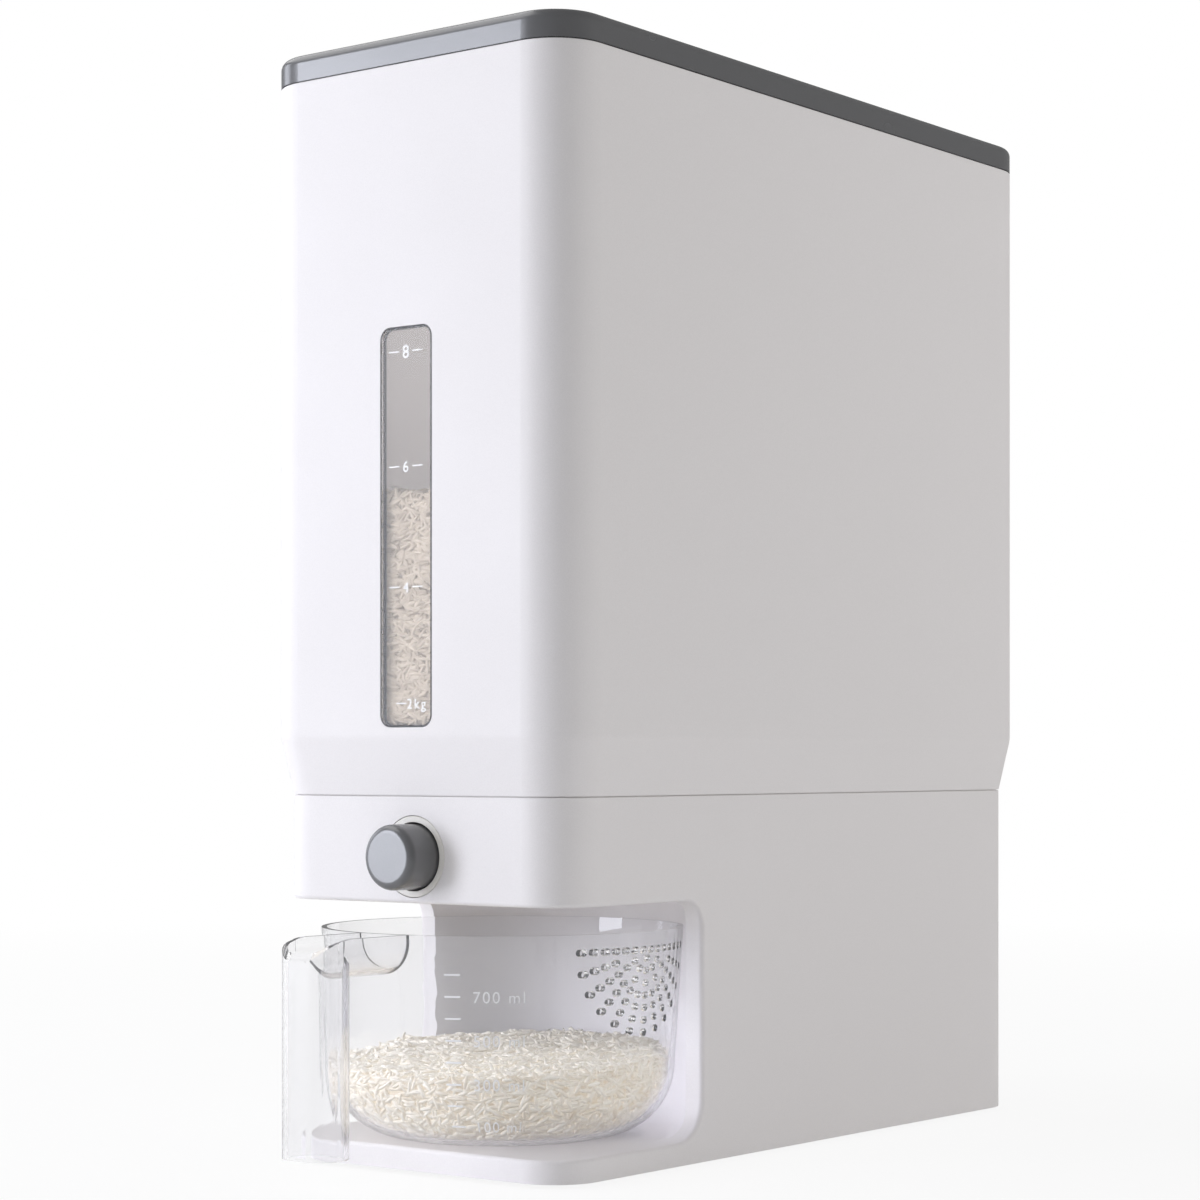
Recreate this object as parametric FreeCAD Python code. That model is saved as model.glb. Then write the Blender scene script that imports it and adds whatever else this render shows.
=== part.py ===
import FreeCAD, Part
import math
import os

# Rice dispenser: a tall hopper with a lift-off lid stands on a base. A push button slides a gate under the
# hopper's outlet against a spring, and rice drops into a clear measuring cup that stands in an open bay.
# Millimetres, +Z up, X to the right seen from the front, Y to the back. The origin is on the ground, under
# the middle of the whole object with its cup in place.

V = FreeCAD.Vector
UP = V(0, 0, 1)
BACK = V(0, 1, 0)
RIGHT = V(1, 0, 0)

# ---- driving dimensions -------------------------------------------------------------------------------
# hopper and lid
hopper_width = 150.0
hopper_depth = 330.0
hopper_corner = 20.5
total_height = 422.5
lid_skirt = 11.0            # height of the lid that shows above the hopper
lid_edge_round = 3.6
hopper_wall = 2.4
taper_height = 22.0         # the hopper narrows over this height down to the base
taper_round = 8.0           # soft bend where the taper begins
ledge_width = 10.0
ledge_thickness = 3.0
seam_height = 0.4           # the thin dark line between two shells is a groove this high
seam_depth = 1.2
seam_bevel = 0.2            # on the edge under each groove

# base and feet
base_inset = 4.0            # the base is narrower than the hopper by this much on every side
base_corner = 19.0
base_wall = 2.4
front_panel_height = 39.65  # from the bay's ceiling up to the seam with the hopper
ground_gap = 1.5
foot_radius = 7.0
foot_height = 2.5
foot_recess = 1.0
foot_inset = 14.0           # from the base's inner wall
corner_clear = 4.0          # screws and feet stand this far past the base's corner rounds
plate_thickness = 2.5

# bay for the cup
bay_floor = 10.2
rim_headroom = 10.45        # between the cup's rim and the bay's ceiling
bay_skin = 2.0              # thickness of the bay's floor, ceiling and curved wall
bay_setback = 56.0          # centre of the rice outlet behind the front of the base
bay_edge_round = 1.5
nose_radius = 2.0           # rounded outer edge of the side walls' ends, beside the cup
nose_line = 1.9             # where those ends begin, ahead of the open side's rear edge
side_opening_setback = 86.9 # rear edge of the open side, behind the front of the base
opening_corner_top = 12.5
opening_corner_low = 17.0
pocket_round_top = 4.0
pocket_round_low = 8.0

# measuring cup
cup_side_gap = 2.0          # between the bowl and the outside of the base, at each side
bowl_half_depth = 70.2
bowl_forward = 3.5          # centre of the bowl ahead of the outlet's
bowl_height = 79.7
bowl_draft = 3.7            # degrees
bowl_corner = 27.0
cup_wall = 2.0
cup_ground_gap = 0.3        # running gap between the cup and the bay's floor
pocket_gap = 1.2            # beside the bowl
pocket_gap_rear = 4.0       # behind the bowl
finger_gap = 25.3
handle_depth = 19.0
handle_half_width = 12.0
handle_corner = 8.0
handle_drop = 7.5           # the handle's front stands this much lower than the rim
handle_rise = 16.0          # the grip's top edge climbs to the rim over this depth
# that climb from the front on: share of the depth, share of the drop still left
rise_curve = ((-0.1, 1.5), (0.0, 1.0), (0.13, 0.62), (0.3, 0.35), (0.56, 0.15), (0.8, 0.04), (1.0, 0.0))
handle_foot_gap = 1.3       # the grip ends this much above the bowl's bottom
trough_depth = 14.8
strainer_hole = 1.4
strainer_step = 4.6         # between the holes of a ray
strainer_reach = 30.8       # outermost hole of a ray, from the rays' middle
strainer_drop = 6.6         # the rays' middle under the rim
strainer_shift = 1.3        # the rays' middle behind the bowl's
strainer_turn = 15.0        # degrees between the rays
strainer_row = 14           # holes of the level top row
strainer_short = 4          # holes on every other ray
strainer_long = 6           # holes on the rays between those, the upright one has one more

# sight window
window_width = 25.0
window_height = 148.0
window_setback = 3.7        # above the hopper's taper
window_corner = 4.5
window_flange = 2.0
window_flange_thickness = 1.5
fit_gap = 0.15

# funnel and outlet
outlet_width = 34.0
outlet_length = 12.0
outlet_corner = 2.5
throat_wall = 2.2
throat_rise = 4.5           # height of the outlet tube
slope_front = 31.0          # degrees
slope_rear = 12.0
slope_side = 30.0
funnel_plate = 2.5
funnel_rib = 2.5
rib_inset = 6.6
rib_end_gap = 10.0
cross_rib_setback = 40.0    # from the hopper's inner rear wall

# gate and its housing
gate_thickness = 6.0
gate_gap = 0.2
gate_half_width = 22.0
gate_land = 8.0             # solid length of the gate past the outlet, at the back
press_travel = 13.0
rail_width = 7.8
housing_floor = 2.3
housing_front_wall = 2.5
housing_rear_wall = 2.0
housing_run_out = 0.5       # left between the gate and the rear wall when the button is pressed home
housing_front_setback = 23.5
cover_thickness = 2.3
seal_thickness = 2.0
seal_margin = 3.0
chute_margin = 1.0
chute_wall = 2.2
chute_end_gap = 0.4         # the chute ends this much above the bay's ceiling
boss_radius = 3.6
housing_screw_front = 8.0   # behind the housing's front
housing_screw_rear = 5.0    # ahead of its rear wall

# button, stem and spring
cap_radius = 12.15
bezel_ring = 2.95           # the bezel shows this much round the cap
bezel_rest = 0.25           # between the bezel and the bay's ceiling
cap_stand_out = 14.5        # how far the cap stands out of the base's front at rest
cap_wall = 2.0
cap_round = 3.0
cap_bore_gap = 0.7
cap_home_gap = 0.5          # left between the cap and the gate's housing when it is pressed home
cap_floor_gap = 0.5         # the stem's socket starts this deep under the cap's face wall
bezel_sleeve_wall = 1.2
bezel_round = 0.4
cap_boss_radius = 4.5
cap_boss_length = 9.0
bezel_flange = 1.9
bezel_flange_thickness = 1.5
flange_gap = 0.2            # the bezel's flange is cut flat above the bay's ceiling and under the top flange
bezel_length = 10.5
bezel_seat_gap = 0.25       # fine groove that shows round the bezel
stem_radius = 2.5
stem_in_gate = 10.0
stem_gap = 0.08
spring_radius = 6.2         # to the middle of the wire
spring_wire = 0.55
spring_turns = 9

# lid
lid_plate = 2.4
liner_gap = 1.2
liner_wall = 2.0
liner_depth = 9.5           # the liner reaches this far into the hopper's mouth
seal_height = 3.0
seal_groove = 1.0
seal_low = 3.0              # the seal starts this far above the liner's bottom
seal_gap = 0.3

# screws
screw_radius = 1.5
screw_head_radius = 2.8
screw_head_height = 1.2
screw_clearance = 0.15
plate_boss_radius = 4.2
plate_boss_height = 14.0
plate_boss_sunk = 1.0       # the bosses merge this far into the side walls
plate_screw_cover = 1.2     # plastic left over the front screws' tips
plate_screw_reach = 8.5     # of the other screws into their bosses
plate_screw_middle = 10.0   # middle pair, behind the middle of the body
plate_screw_rear = 20.0     # rear pair, ahead of the rear corner rounds
pilot_spare = 0.3
hopper_screw_radius = 2.0
hopper_screw_head_radius = 3.5
hopper_screw_head_height = 2.2
hopper_boss_radius = 4.6
hopper_boss_height = 8.0
hopper_boss_shift = 2.0     # towards the middle, from the middle of the ledge
hopper_screw_cover = 1.5    # boss left over the screws' tips

# ---- places worked out from them ----------------------------------------------------------------------
base_width = hopper_width - 2 * base_inset
base_depth = hopper_depth - 2 * base_inset
cup_overhang = handle_depth + finger_gap + bowl_half_depth + bowl_forward - bay_setback - base_inset
body_y = cup_overhang / 2
hopper_front = body_y - hopper_depth / 2
base_front = body_y - base_depth / 2
base_half = base_width / 2
bay_y = base_front + bay_setback
bowl_y = bay_y - bowl_forward
hopper_top = total_height - lid_skirt
bowl_half_width = base_half - cup_side_gap
cup_bottom = bay_floor + cup_ground_gap
bowl_rim = cup_bottom + bowl_height
handle_foot = cup_bottom + handle_foot_gap
bay_ceiling = bowl_rim + rim_headroom
base_top = bay_ceiling + front_panel_height
taper_top = base_top + taper_height
window_low = taper_top + window_setback
window_high = window_low + window_height
bowl_front = bowl_y - bowl_half_depth
handle_back = bowl_front - finger_gap
handle_front = handle_back - handle_depth
pocket_half_width = bowl_half_width + pocket_gap
pocket_half_depth = bowl_half_depth + pocket_gap_rear
opening_back = base_front + side_opening_setback
ceiling_top = bay_ceiling + bay_skin
plate_top = ground_gap + plate_thickness
bezel_radius = cap_radius + bezel_ring
button_height = ceiling_top + bezel_radius + bezel_rest
gate_low = button_height - gate_thickness / 2
gate_high = button_height + gate_thickness / 2
floor_top = gate_low - gate_gap
floor_low = floor_top - housing_floor
cover_low = gate_high + gate_gap
cover_top = cover_low + cover_thickness
throat_low = cover_top + seal_thickness
throat_top = throat_low + throat_rise
housing_front = base_front + housing_front_setback
rail_inner = gate_half_width + gate_gap
rail_outer = rail_inner + rail_width
gate_front = housing_front + housing_front_wall + gate_gap
gate_back = bay_y + outlet_length / 2 + gate_land
housing_back = gate_back + press_travel + housing_run_out
cap_front = base_front - cap_stand_out
cap_back = housing_front - press_travel - cap_home_gap
big = 2 * (hopper_width + hopper_depth + total_height)


# ---- shape helpers ------------------------------------------------------------------------------------
def save(shape, name):
    """Write one sub-part to its own STEP file."""
    shape.exportStep("parts/" + name + ".step")


def block(x_low, x_high, y_low, y_high, z_low, z_high):
    """Box between two corners."""
    return Part.makeBox(x_high - x_low, y_high - y_low, z_high - z_low, V(x_low, y_low, z_low))


def rod(radius, start, direction, length):
    """Solid cylinder from a start point."""
    return Part.makeCylinder(radius, length, start, direction)


def rounded_outline(width, depth, radius, centre_y, z):
    """Closed wire of a rectangle with round corners, level at height z."""
    x = width / 2
    y = depth / 2
    r = radius
    k = r * (1 - math.sqrt(0.5))
    edges = []
    corners = ((1, -1), (1, 1), (-1, 1), (-1, -1))
    for i, (sx, sy) in enumerate(corners):
        along_x = V(sx * (x - r), centre_y + sy * y, z)
        along_y = V(sx * x, centre_y + sy * (y - r), z)
        middle = V(sx * (x - k), centre_y + sy * (y - k), z)
        start, end = (along_x, along_y) if i % 2 == 0 else (along_y, along_x)
        edges.append(Part.Arc(start, middle, end).toShape())
    lines = []
    for i in range(4):
        end_of_arc = edges[i].Vertexes[-1].Point
        start_of_next = edges[(i + 1) % 4].Vertexes[0].Point
        lines.append(Part.LineSegment(end_of_arc, start_of_next).toShape())
    ordered = [edge for pair in zip(edges, lines) for edge in pair]
    return Part.Wire(ordered)


def rounded_prism(width, depth, radius, centre_y, z_low, z_high):
    """Upright prism with a rounded rectangular outline."""
    outline = rounded_outline(width, depth, radius, centre_y, z_low)
    return Part.Face(outline).extrude(V(0, 0, z_high - z_low))


def fuse(first, *others):
    """One solid from several that overlap or touch."""
    return first.multiFuse(list(others)).removeSplitter()


def level_edges(shape, z):
    """Edges that lie wholly at one height."""
    return [e for e in shape.Edges if abs(e.BoundBox.ZMin - z) < 1e-4 and abs(e.BoundBox.ZMax - z) < 1e-4]


def base_prism(inset, z_low, z_high):
    """Upright prism with the base's outline, moved inwards by inset."""
    return rounded_prism(
        base_width - 2 * inset, base_depth - 2 * inset, base_corner - inset, body_y, z_low, z_high
    )


def hopper_form(inset, z_low, z_high):
    """The hopper's tapering form, moved inwards by inset, between two heights."""
    low = rounded_outline(
        base_width - 2 * inset, base_depth - 2 * inset, base_corner - inset, body_y, base_top
    )
    high = rounded_outline(
        hopper_width - 2 * inset, hopper_depth - 2 * inset, hopper_corner - inset, body_y, taper_top
    )
    form = Part.makeLoft([low, high], True, True)
    form = form.fuse(Part.Face(high).extrude(V(0, 0, total_height - taper_top))).removeSplitter()
    form = form.makeFillet(taper_round, level_edges(form, taper_top))
    return form.common(block(-big, big, -big, big, z_low, z_high))


def ellipse_prism(half_width, half_depth, centre_y, z_low, z_high):
    """Upright prism with an elliptic outline."""
    axis_ends = [V(0, centre_y + half_depth, z_low), V(half_width, centre_y, z_low)]
    if half_width > half_depth:
        axis_ends.reverse()
    ellipse = Part.Ellipse(axis_ends[0], axis_ends[1], V(0, centre_y, z_low))
    return Part.Face(Part.Wire(ellipse.toShape())).extrude(V(0, 0, z_high - z_low))


def screw(radius, length, head_radius, head_height, tip):
    """Upright pan-head screw with a cross recess, head down, its tip at the top."""
    head_top = tip.z - length
    head = rod(head_radius, V(tip.x, tip.y, head_top - head_height), UP, head_height)
    body = fuse(head, rod(radius, V(tip.x, tip.y, head_top - head_height / 2), UP, length + head_height / 2))
    slot_depth = head_height / 2
    slot_low = head_top - head_height
    arm = head_radius * 0.6
    half = radius * 0.25
    across = block(tip.x - arm, tip.x + arm, tip.y - half, tip.y + half, slot_low, slot_low + slot_depth)
    along = block(tip.x - half, tip.x + half, tip.y - arm, tip.y + arm, slot_low, slot_low + slot_depth)
    return body.cut(across.fuse(along))


def turned_over(shape, point):
    """Copy of a shape, turned upside down about a point."""
    copy = shape.copy()
    copy.rotate(point, RIGHT, 180)
    return copy


# ---- base ---------------------------------------------------------------------------------------------
def opening_profile(x, flare, lip, front):
    """Side view of the open side at one X: grown by flare at its rear end, and by lip above and below."""
    rear = opening_back - nose_line + flare
    top = opening_corner_top - nose_line + flare
    low = opening_corner_low - nose_line + flare
    z_low = bay_floor - lip
    z_high = bay_ceiling + lip
    k = 1 - math.sqrt(0.5)
    points = [
        V(x, front, z_low),
        V(x, rear - low, z_low),
        V(x, rear, z_low + low),
        V(x, rear, z_high - top),
        V(x, rear - top, z_high),
        V(x, front, z_high),
    ]
    low_middle = V(x, rear - low * k, z_low + low * k)
    top_middle = V(x, rear - top * k, z_high - top * k)
    edges = [
        Part.LineSegment(points[0], points[1]).toShape(),
        Part.Arc(points[1], low_middle, points[2]).toShape(),
        Part.LineSegment(points[2], points[3]).toShape(),
        Part.Arc(points[3], top_middle, points[4]).toShape(),
        Part.LineSegment(points[4], points[5]).toShape(),
        Part.LineSegment(points[5], points[0]).toShape(),
    ]
    return Part.Wire(edges)


def quarter_round(radius, reach):
    """How far a quarter round has turned outwards, reach along its axis from its end."""
    inner = max(0.0, radius - reach)
    return radius - math.sqrt(max(0.0, radius * radius - inner * inner))


def edge_round_cutter(z, direction):
    """What rounds the outer edge at the bay's floor (direction -1) or ceiling (1)."""
    flare_front = opening_back - nose_line - opening_corner_low
    z_low, z_high = sorted((z, z + direction * bay_edge_round))
    keep_low, keep_high = sorted((z, z + direction * (bay_edge_round + 5)))
    keep = base_prism(0, keep_low, keep_high)
    keep = keep.makeFillet(bay_edge_round, level_edges(keep, z))
    return block(-big, big, -big, flare_front, z_low, z_high).cut(keep)


def bay_void():
    """Space that the cup stands in: open to the front and both sides, with a curved pocket behind."""
    turn = math.acos(1 - nose_line / nose_radius)
    start = base_half - nose_radius * math.sin(turn)
    far_front = base_front - base_inset
    flare_front = opening_back - nose_line - opening_corner_low
    middle = Part.Face(opening_profile(-start, 0, 0, far_front)).extrude(V(2 * start, 0, 0))
    wide = base_half + base_inset
    ahead = block(-wide, wide, far_front, flare_front, bay_floor, bay_ceiling)
    steps = 12
    flares = []
    for side in (1, -1):
        sections = []
        for i in range(steps):
            angle = turn * i / (steps - 1)
            reach = nose_radius * (math.sin(turn) - math.sin(angle))
            flare = nose_radius * (1 - math.cos(angle))
            lip = quarter_round(bay_edge_round, reach)
            sections.append(opening_profile(side * (base_half - reach), flare, lip, flare_front))
        flares.append(Part.makeLoft(sections, True, True))
    pocket = ellipse_prism(pocket_half_width, pocket_half_depth, bowl_y, bay_floor, bay_ceiling)
    pocket = pocket.makeFillet(pocket_round_low, level_edges(pocket, bay_floor))
    pocket = pocket.makeFillet(pocket_round_top, level_edges(pocket, bay_ceiling))
    behind = pocket.common(block(-big, big, bowl_y, big, 0, big))
    rounds = [edge_round_cutter(bay_floor, -1), edge_round_cutter(bay_ceiling, 1)]
    return middle.multiFuse(flares + [ahead, behind] + rounds)


def bay_jacket():
    """The bay's space with its skin, kept solid inside the base."""
    outer = ellipse_prism(
        pocket_half_width + bay_skin, pocket_half_depth + bay_skin, bowl_y, bay_floor - bay_skin, ceiling_top
    )
    ahead = block(-big, big, -big, opening_back + 2 * bay_skin, bay_floor - bay_skin, ceiling_top)
    return outer.fuse(ahead)


def plate_boss_places():
    """Where the bottom plate is screwed on: two in front under the bay, two amidships, two at the rear."""
    side = base_half - base_wall - plate_boss_radius + plate_boss_sunk
    front = base_front + base_corner + corner_clear
    middle = body_y + plate_screw_middle
    rear = base_front + base_depth - base_corner - plate_screw_rear
    return [(s * side, y) for y in (front, middle, rear) for s in (-1, 1)]


def plate_boss_top(y):
    """Top of a bottom-plate boss: it ends in the bay's floor in front, and stands free behind."""
    return bay_floor - bay_skin / 2 if y < bay_y else plate_top + plate_boss_height


def housing_boss_places():
    """The four screws that hold the gate's housing and its cover down on the bay's ceiling."""
    x = rail_inner + rail_width / 2
    front = housing_front + housing_screw_front
    rear = housing_back - housing_screw_rear
    return [(s * x, y) for y in (front, rear) for s in (-1, 1)]


def hopper_boss_places():
    """The four corner screws between hopper and base."""
    x = base_half - base_wall - ledge_width / 2 - hopper_boss_shift
    front = base_front + base_corner + corner_clear
    rear = base_front + base_depth - base_corner - corner_clear
    return [(s * x, y) for y in (front, rear) for s in (-1, 1)]


def build_base_housing():
    """One moulding: the outer skin, the bay, the top flange and the screw bosses."""
    body = base_prism(0, ground_gap, base_top)
    rim = level_edges(body, base_top)
    body = body.makeChamfer(seam_bevel, rim)
    hollow = base_prism(base_wall, 0, base_top - ledge_thickness)
    mouth = base_prism(base_wall + ledge_width, 0, base_top + 1)
    hollow = hollow.cut(bay_jacket())
    body = body.cut(bay_void())
    body = body.cut(hollow).cut(mouth.cut(bay_jacket()))
    bosses = []
    for x, y in plate_boss_places():
        bosses.append(rod(plate_boss_radius, V(x, y, plate_top), UP, plate_boss_top(y) - plate_top))
    for x, y in housing_boss_places():
        boss_low = ceiling_top - bay_skin / 2
        bosses.append(rod(boss_radius, V(x, y, boss_low), UP, floor_low - boss_low))
    body = body.multiFuse(bosses)
    cuts = []
    chute_width = outlet_width + 2 * (chute_margin + chute_wall + fit_gap)
    chute_length = outlet_length + 2 * (chute_margin + chute_wall + fit_gap)
    chute_corner = outlet_corner + chute_wall
    chute_hole = rounded_prism(
        chute_width, chute_length, chute_corner, bay_y, bay_ceiling - 1, ceiling_top + 1
    )
    cuts.append(chute_hole)
    for x, y in plate_boss_places():
        pilot_depth = plate_screw_tip(y) + pilot_spare - plate_top
        cuts.append(rod(screw_radius, V(x, y, plate_top - 1), UP, pilot_depth + 1))
    for x, y in housing_boss_places():
        cuts.append(rod(screw_radius, V(x, y, ceiling_top + 0.8), UP, floor_low - ceiling_top))
    for x, y in hopper_boss_places():
        hole = hopper_screw_radius + screw_clearance
        cuts.append(rod(hole, V(x, y, base_top - ledge_thickness - 1), UP, ledge_thickness + 2))
    cuts.append(rod(bezel_radius + bezel_seat_gap, V(0, base_front - 1, button_height), BACK, base_wall + 2))
    return body.cut(cuts[0].multiFuse(cuts[1:]))


def plate_screw_tip(y):
    """Height of a bottom-plate screw's tip inside its boss."""
    return plate_boss_top(y) - plate_screw_cover if y < bay_y else plate_top + plate_screw_reach


def build_bottom_plate():
    """Flat cover under the base, with recesses for the feet and the screw heads."""
    plate = base_prism(base_wall + fit_gap, ground_gap, plate_top)
    cuts = []
    for x, y in plate_boss_places():
        cuts.append(rod(screw_radius + screw_clearance, V(x, y, 0), UP, big))
        cuts.append(rod(screw_head_radius + screw_clearance, V(x, y, 0), UP, ground_gap + screw_head_height))
    for x, y in foot_places().values():
        cuts.append(rod(foot_radius + screw_clearance, V(x, y, 0), UP, ground_gap + foot_recess))
    return plate.cut(cuts[0].multiFuse(cuts[1:]))


def foot_places():
    """The four feet by name."""
    x = base_half - base_wall - foot_radius - foot_inset
    front = base_front + base_corner + corner_clear
    rear = base_front + base_depth - base_corner - corner_clear
    return {
        "foot_front_left": (-x, front),
        "foot_front_right": (x, front),
        "foot_rear_left": (-x, rear),
        "foot_rear_right": (x, rear),
    }


def build_foot(x, y):
    """Round rubber foot with a soft lower edge."""
    pad = rod(foot_radius, V(x, y, 0), UP, foot_height)
    return pad.makeFillet(0.6, level_edges(pad, 0))


def build_bottom_plate_screws():
    """Six screws, heads down, from the plate into the base's bosses."""
    group = []
    for x, y in plate_boss_places():
        tip = V(x, y, plate_screw_tip(y))
        length = tip.z - ground_gap - screw_head_height
        group.append(screw(screw_radius, length, screw_head_radius, screw_head_height, tip))
    return Part.makeCompound(group)


# ---- hopper -------------------------------------------------------------------------------------------
def window_form(grow, y_low, y_high):
    """The sight window's rounded outline as a prism along Y, grown all round."""
    width = window_width + 2 * grow
    height = window_high - window_low + 2 * grow
    flat = rounded_prism(width, height, window_corner + grow, 0, 0, y_high - y_low)
    flat.rotate(V(0, 0, 0), RIGHT, 90)
    flat.translate(V(0, y_high, (window_low + window_high) / 2))
    return flat


def seam_cutter(core, level):
    """Narrow groove all round, between the lower edge of an upper shell and the shell under it."""
    return block(-big, big, -big, big, level, level + seam_height).cut(core)


def build_hopper_shell():
    """Tall four-sided shell with round corners, a taper at its foot, an inner ledge and the window's hole."""
    outer = hopper_form(0, base_top, hopper_top)
    outer = outer.makeChamfer(seam_bevel, level_edges(outer, hopper_top))
    outer = outer.cut(seam_cutter(base_prism(seam_depth, base_top - 1, base_top + 1), base_top))
    inner = hopper_form(hopper_wall, base_top + ledge_thickness, total_height)
    shell = outer.cut(inner)
    shell = shell.cut(base_prism(hopper_wall + ledge_width, base_top - 1, base_top + ledge_thickness + 1))
    shell = shell.cut(window_form(fit_gap, hopper_front - 1, hopper_front + hopper_wall + 1))
    bosses = []
    for x, y in hopper_boss_places():
        bosses.append(rod(hopper_boss_radius, V(x, y, base_top + 1), UP, hopper_boss_height - 1))
    shell = shell.multiFuse(bosses)
    pilots = []
    for x, y in hopper_boss_places():
        pilots.append(rod(hopper_screw_radius, V(x, y, base_top - 1), UP, hopper_boss_height))
    return shell.cut(pilots[0].multiFuse(pilots[1:]))


def build_hopper_screws():
    """Four screws, heads down under the base's top flange, up into the hopper's bosses."""
    length = ledge_thickness + hopper_boss_height - hopper_screw_cover
    group = []
    for x, y in hopper_boss_places():
        tip = V(x, y, base_top - ledge_thickness + length)
        group.append(
            screw(hopper_screw_radius, length, hopper_screw_head_radius, hopper_screw_head_height, tip)
        )
    return Part.makeCompound(group)


def slope_form(lift):
    """Solid above the sloping floor: four planes that rise from the outlet to the hopper's walls."""
    rise = total_height
    wires = []
    for height in (0.0, rise):
        front = bay_y - outlet_length / 2 - height / math.tan(math.radians(slope_front))
        rear = bay_y + outlet_length / 2 + height / math.tan(math.radians(slope_rear))
        side = outlet_width / 2 + height / math.tan(math.radians(slope_side))
        z = throat_top + lift + height
        points = [V(-side, front, z), V(side, front, z), V(side, rear, z), V(-side, rear, z)]
        wires.append(Part.makePolygon(points + [points[0]]))
    return Part.makeLoft(wires, True, True)


def build_hopper_funnel():
    """Sloping floor in the hopper, with an outlet tube below and ribs that stand on the ledge."""
    ledge_top = base_top + ledge_thickness
    inside = hopper_form(hopper_wall + fit_gap, ledge_top, hopper_top)
    mouth = base_prism(hopper_wall + ledge_width + fit_gap, throat_low, ledge_top)
    above = slope_form(0)
    plates = slope_form(-funnel_plate).cut(above).common(inside.fuse(mouth))
    tube = rounded_prism(
        outlet_width + 2 * throat_wall,
        outlet_length + 2 * throat_wall,
        outlet_corner + throat_wall,
        bay_y,
        throat_low,
        throat_top + 2 * throat_wall,
    ).cut(above)
    ribs = []
    half_rib = funnel_rib / 2
    rib_x = base_half - hopper_wall - rib_inset
    rear_rib = base_front + base_depth - hopper_wall - cross_rib_setback
    front_end = base_front + hopper_wall + 2 * ledge_width + rib_end_gap
    rear_end = base_front + base_depth - hopper_wall - 2 * ledge_width - rib_end_gap
    for side in (-1, 1):
        x = side * rib_x
        ribs.append(block(x - half_rib, x + half_rib, front_end, rear_end, ledge_top, total_height))
    cross = rib_x + half_rib
    ribs.append(block(-cross, cross, rear_rib - half_rib, rear_rib + half_rib, ledge_top, total_height))
    ribs = [rib.cut(above) for rib in ribs]
    funnel = plates.multiFuse([tube] + ribs)
    bore = rounded_prism(outlet_width, outlet_length, outlet_corner, bay_y, throat_low - 1, total_height)
    return funnel.cut(bore).removeSplitter()


def build_outlet_seal():
    """Soft ring squeezed between the funnel's tube and the cover of the gate's housing."""
    grow = 2 * seal_margin
    outer = rounded_prism(
        outlet_width + grow, outlet_length + grow, outlet_corner + seal_margin, bay_y, cover_top, throat_low
    )
    inner = rounded_prism(outlet_width, outlet_length, outlet_corner, bay_y, cover_top - 1, throat_low + 1)
    return outer.cut(inner)


def build_sight_window():
    """Clear window: a plug that fills the hole flush, and a flange behind the wall."""
    plug = window_form(0, hopper_front, hopper_front + hopper_wall)
    flange_back = hopper_front + hopper_wall + window_flange_thickness
    flange = window_form(window_flange, hopper_front + hopper_wall, flange_back)
    return fuse(plug, flange)


# ---- gate ---------------------------------------------------------------------------------------------
def housing_width_block(y_low, y_high, z_low, z_high):
    """Block as wide as the gate's housing."""
    return block(-rail_outer, rail_outer, y_low, y_high, z_low, z_high)


def build_gate_housing():
    """Channel the gate slides in: floor, two rails, front and rear walls, and the chute below."""
    floor = housing_width_block(housing_front, housing_back + housing_rear_wall, floor_low, floor_top)
    front_wall = housing_width_block(
        housing_front, housing_front + housing_front_wall, floor_low, cover_low
    )
    rear_wall = housing_width_block(housing_back, housing_back + housing_rear_wall, floor_low, cover_low)
    rails = []
    for low, high in ((-rail_outer, -rail_inner), (rail_inner, rail_outer)):
        rails.append(block(low, high, housing_front, housing_back + housing_rear_wall, floor_low, cover_low))
    bore_width = outlet_width + 2 * chute_margin
    bore_length = outlet_length + 2 * chute_margin
    chute = rounded_prism(
        bore_width + 2 * chute_wall,
        bore_length + 2 * chute_wall,
        outlet_corner + chute_wall,
        bay_y,
        bay_ceiling + chute_end_gap,
        floor_low + 1,
    )
    housing = floor.multiFuse([front_wall, rear_wall] + rails + [chute]).removeSplitter()
    bore = rounded_prism(bore_width, bore_length, outlet_corner, bay_y, bay_ceiling - 1, floor_top + 1)
    guide = rod(stem_radius + stem_gap, V(0, housing_front - 1, button_height), BACK, housing_front_wall + 2)
    holes = [guide]
    for x, y in housing_boss_places():
        hole = screw_radius + screw_clearance
        holes.append(rod(hole, V(x, y, floor_low - 1), UP, cover_low - floor_low + 2))
    return housing.cut(bore.multiFuse(holes))


def build_housing_cover():
    """Top plate of the gate's housing, with the mouth under the funnel."""
    plate = housing_width_block(housing_front, housing_back + housing_rear_wall, cover_low, cover_top)
    mouth = rounded_prism(outlet_width, outlet_length, outlet_corner, bay_y, cover_low - 1, cover_top + 1)
    holes = []
    for x, y in housing_boss_places():
        holes.append(rod(screw_radius + screw_clearance, V(x, y, cover_low - 1), UP, cover_thickness + 2))
    return plate.cut(mouth.multiFuse(holes))


def build_housing_screws():
    """Four screws, heads up on the cover, down into the bosses on the bay's ceiling."""
    length = cover_top - ceiling_top - 1.0
    group = []
    for x, y in housing_boss_places():
        seat = V(x, y, cover_top)
        tip = V(x, y, cover_top + length)
        upright = screw(screw_radius, length, screw_head_radius, screw_head_height, tip)
        group.append(turned_over(upright, seat))
    return Part.makeCompound(group)


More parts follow.
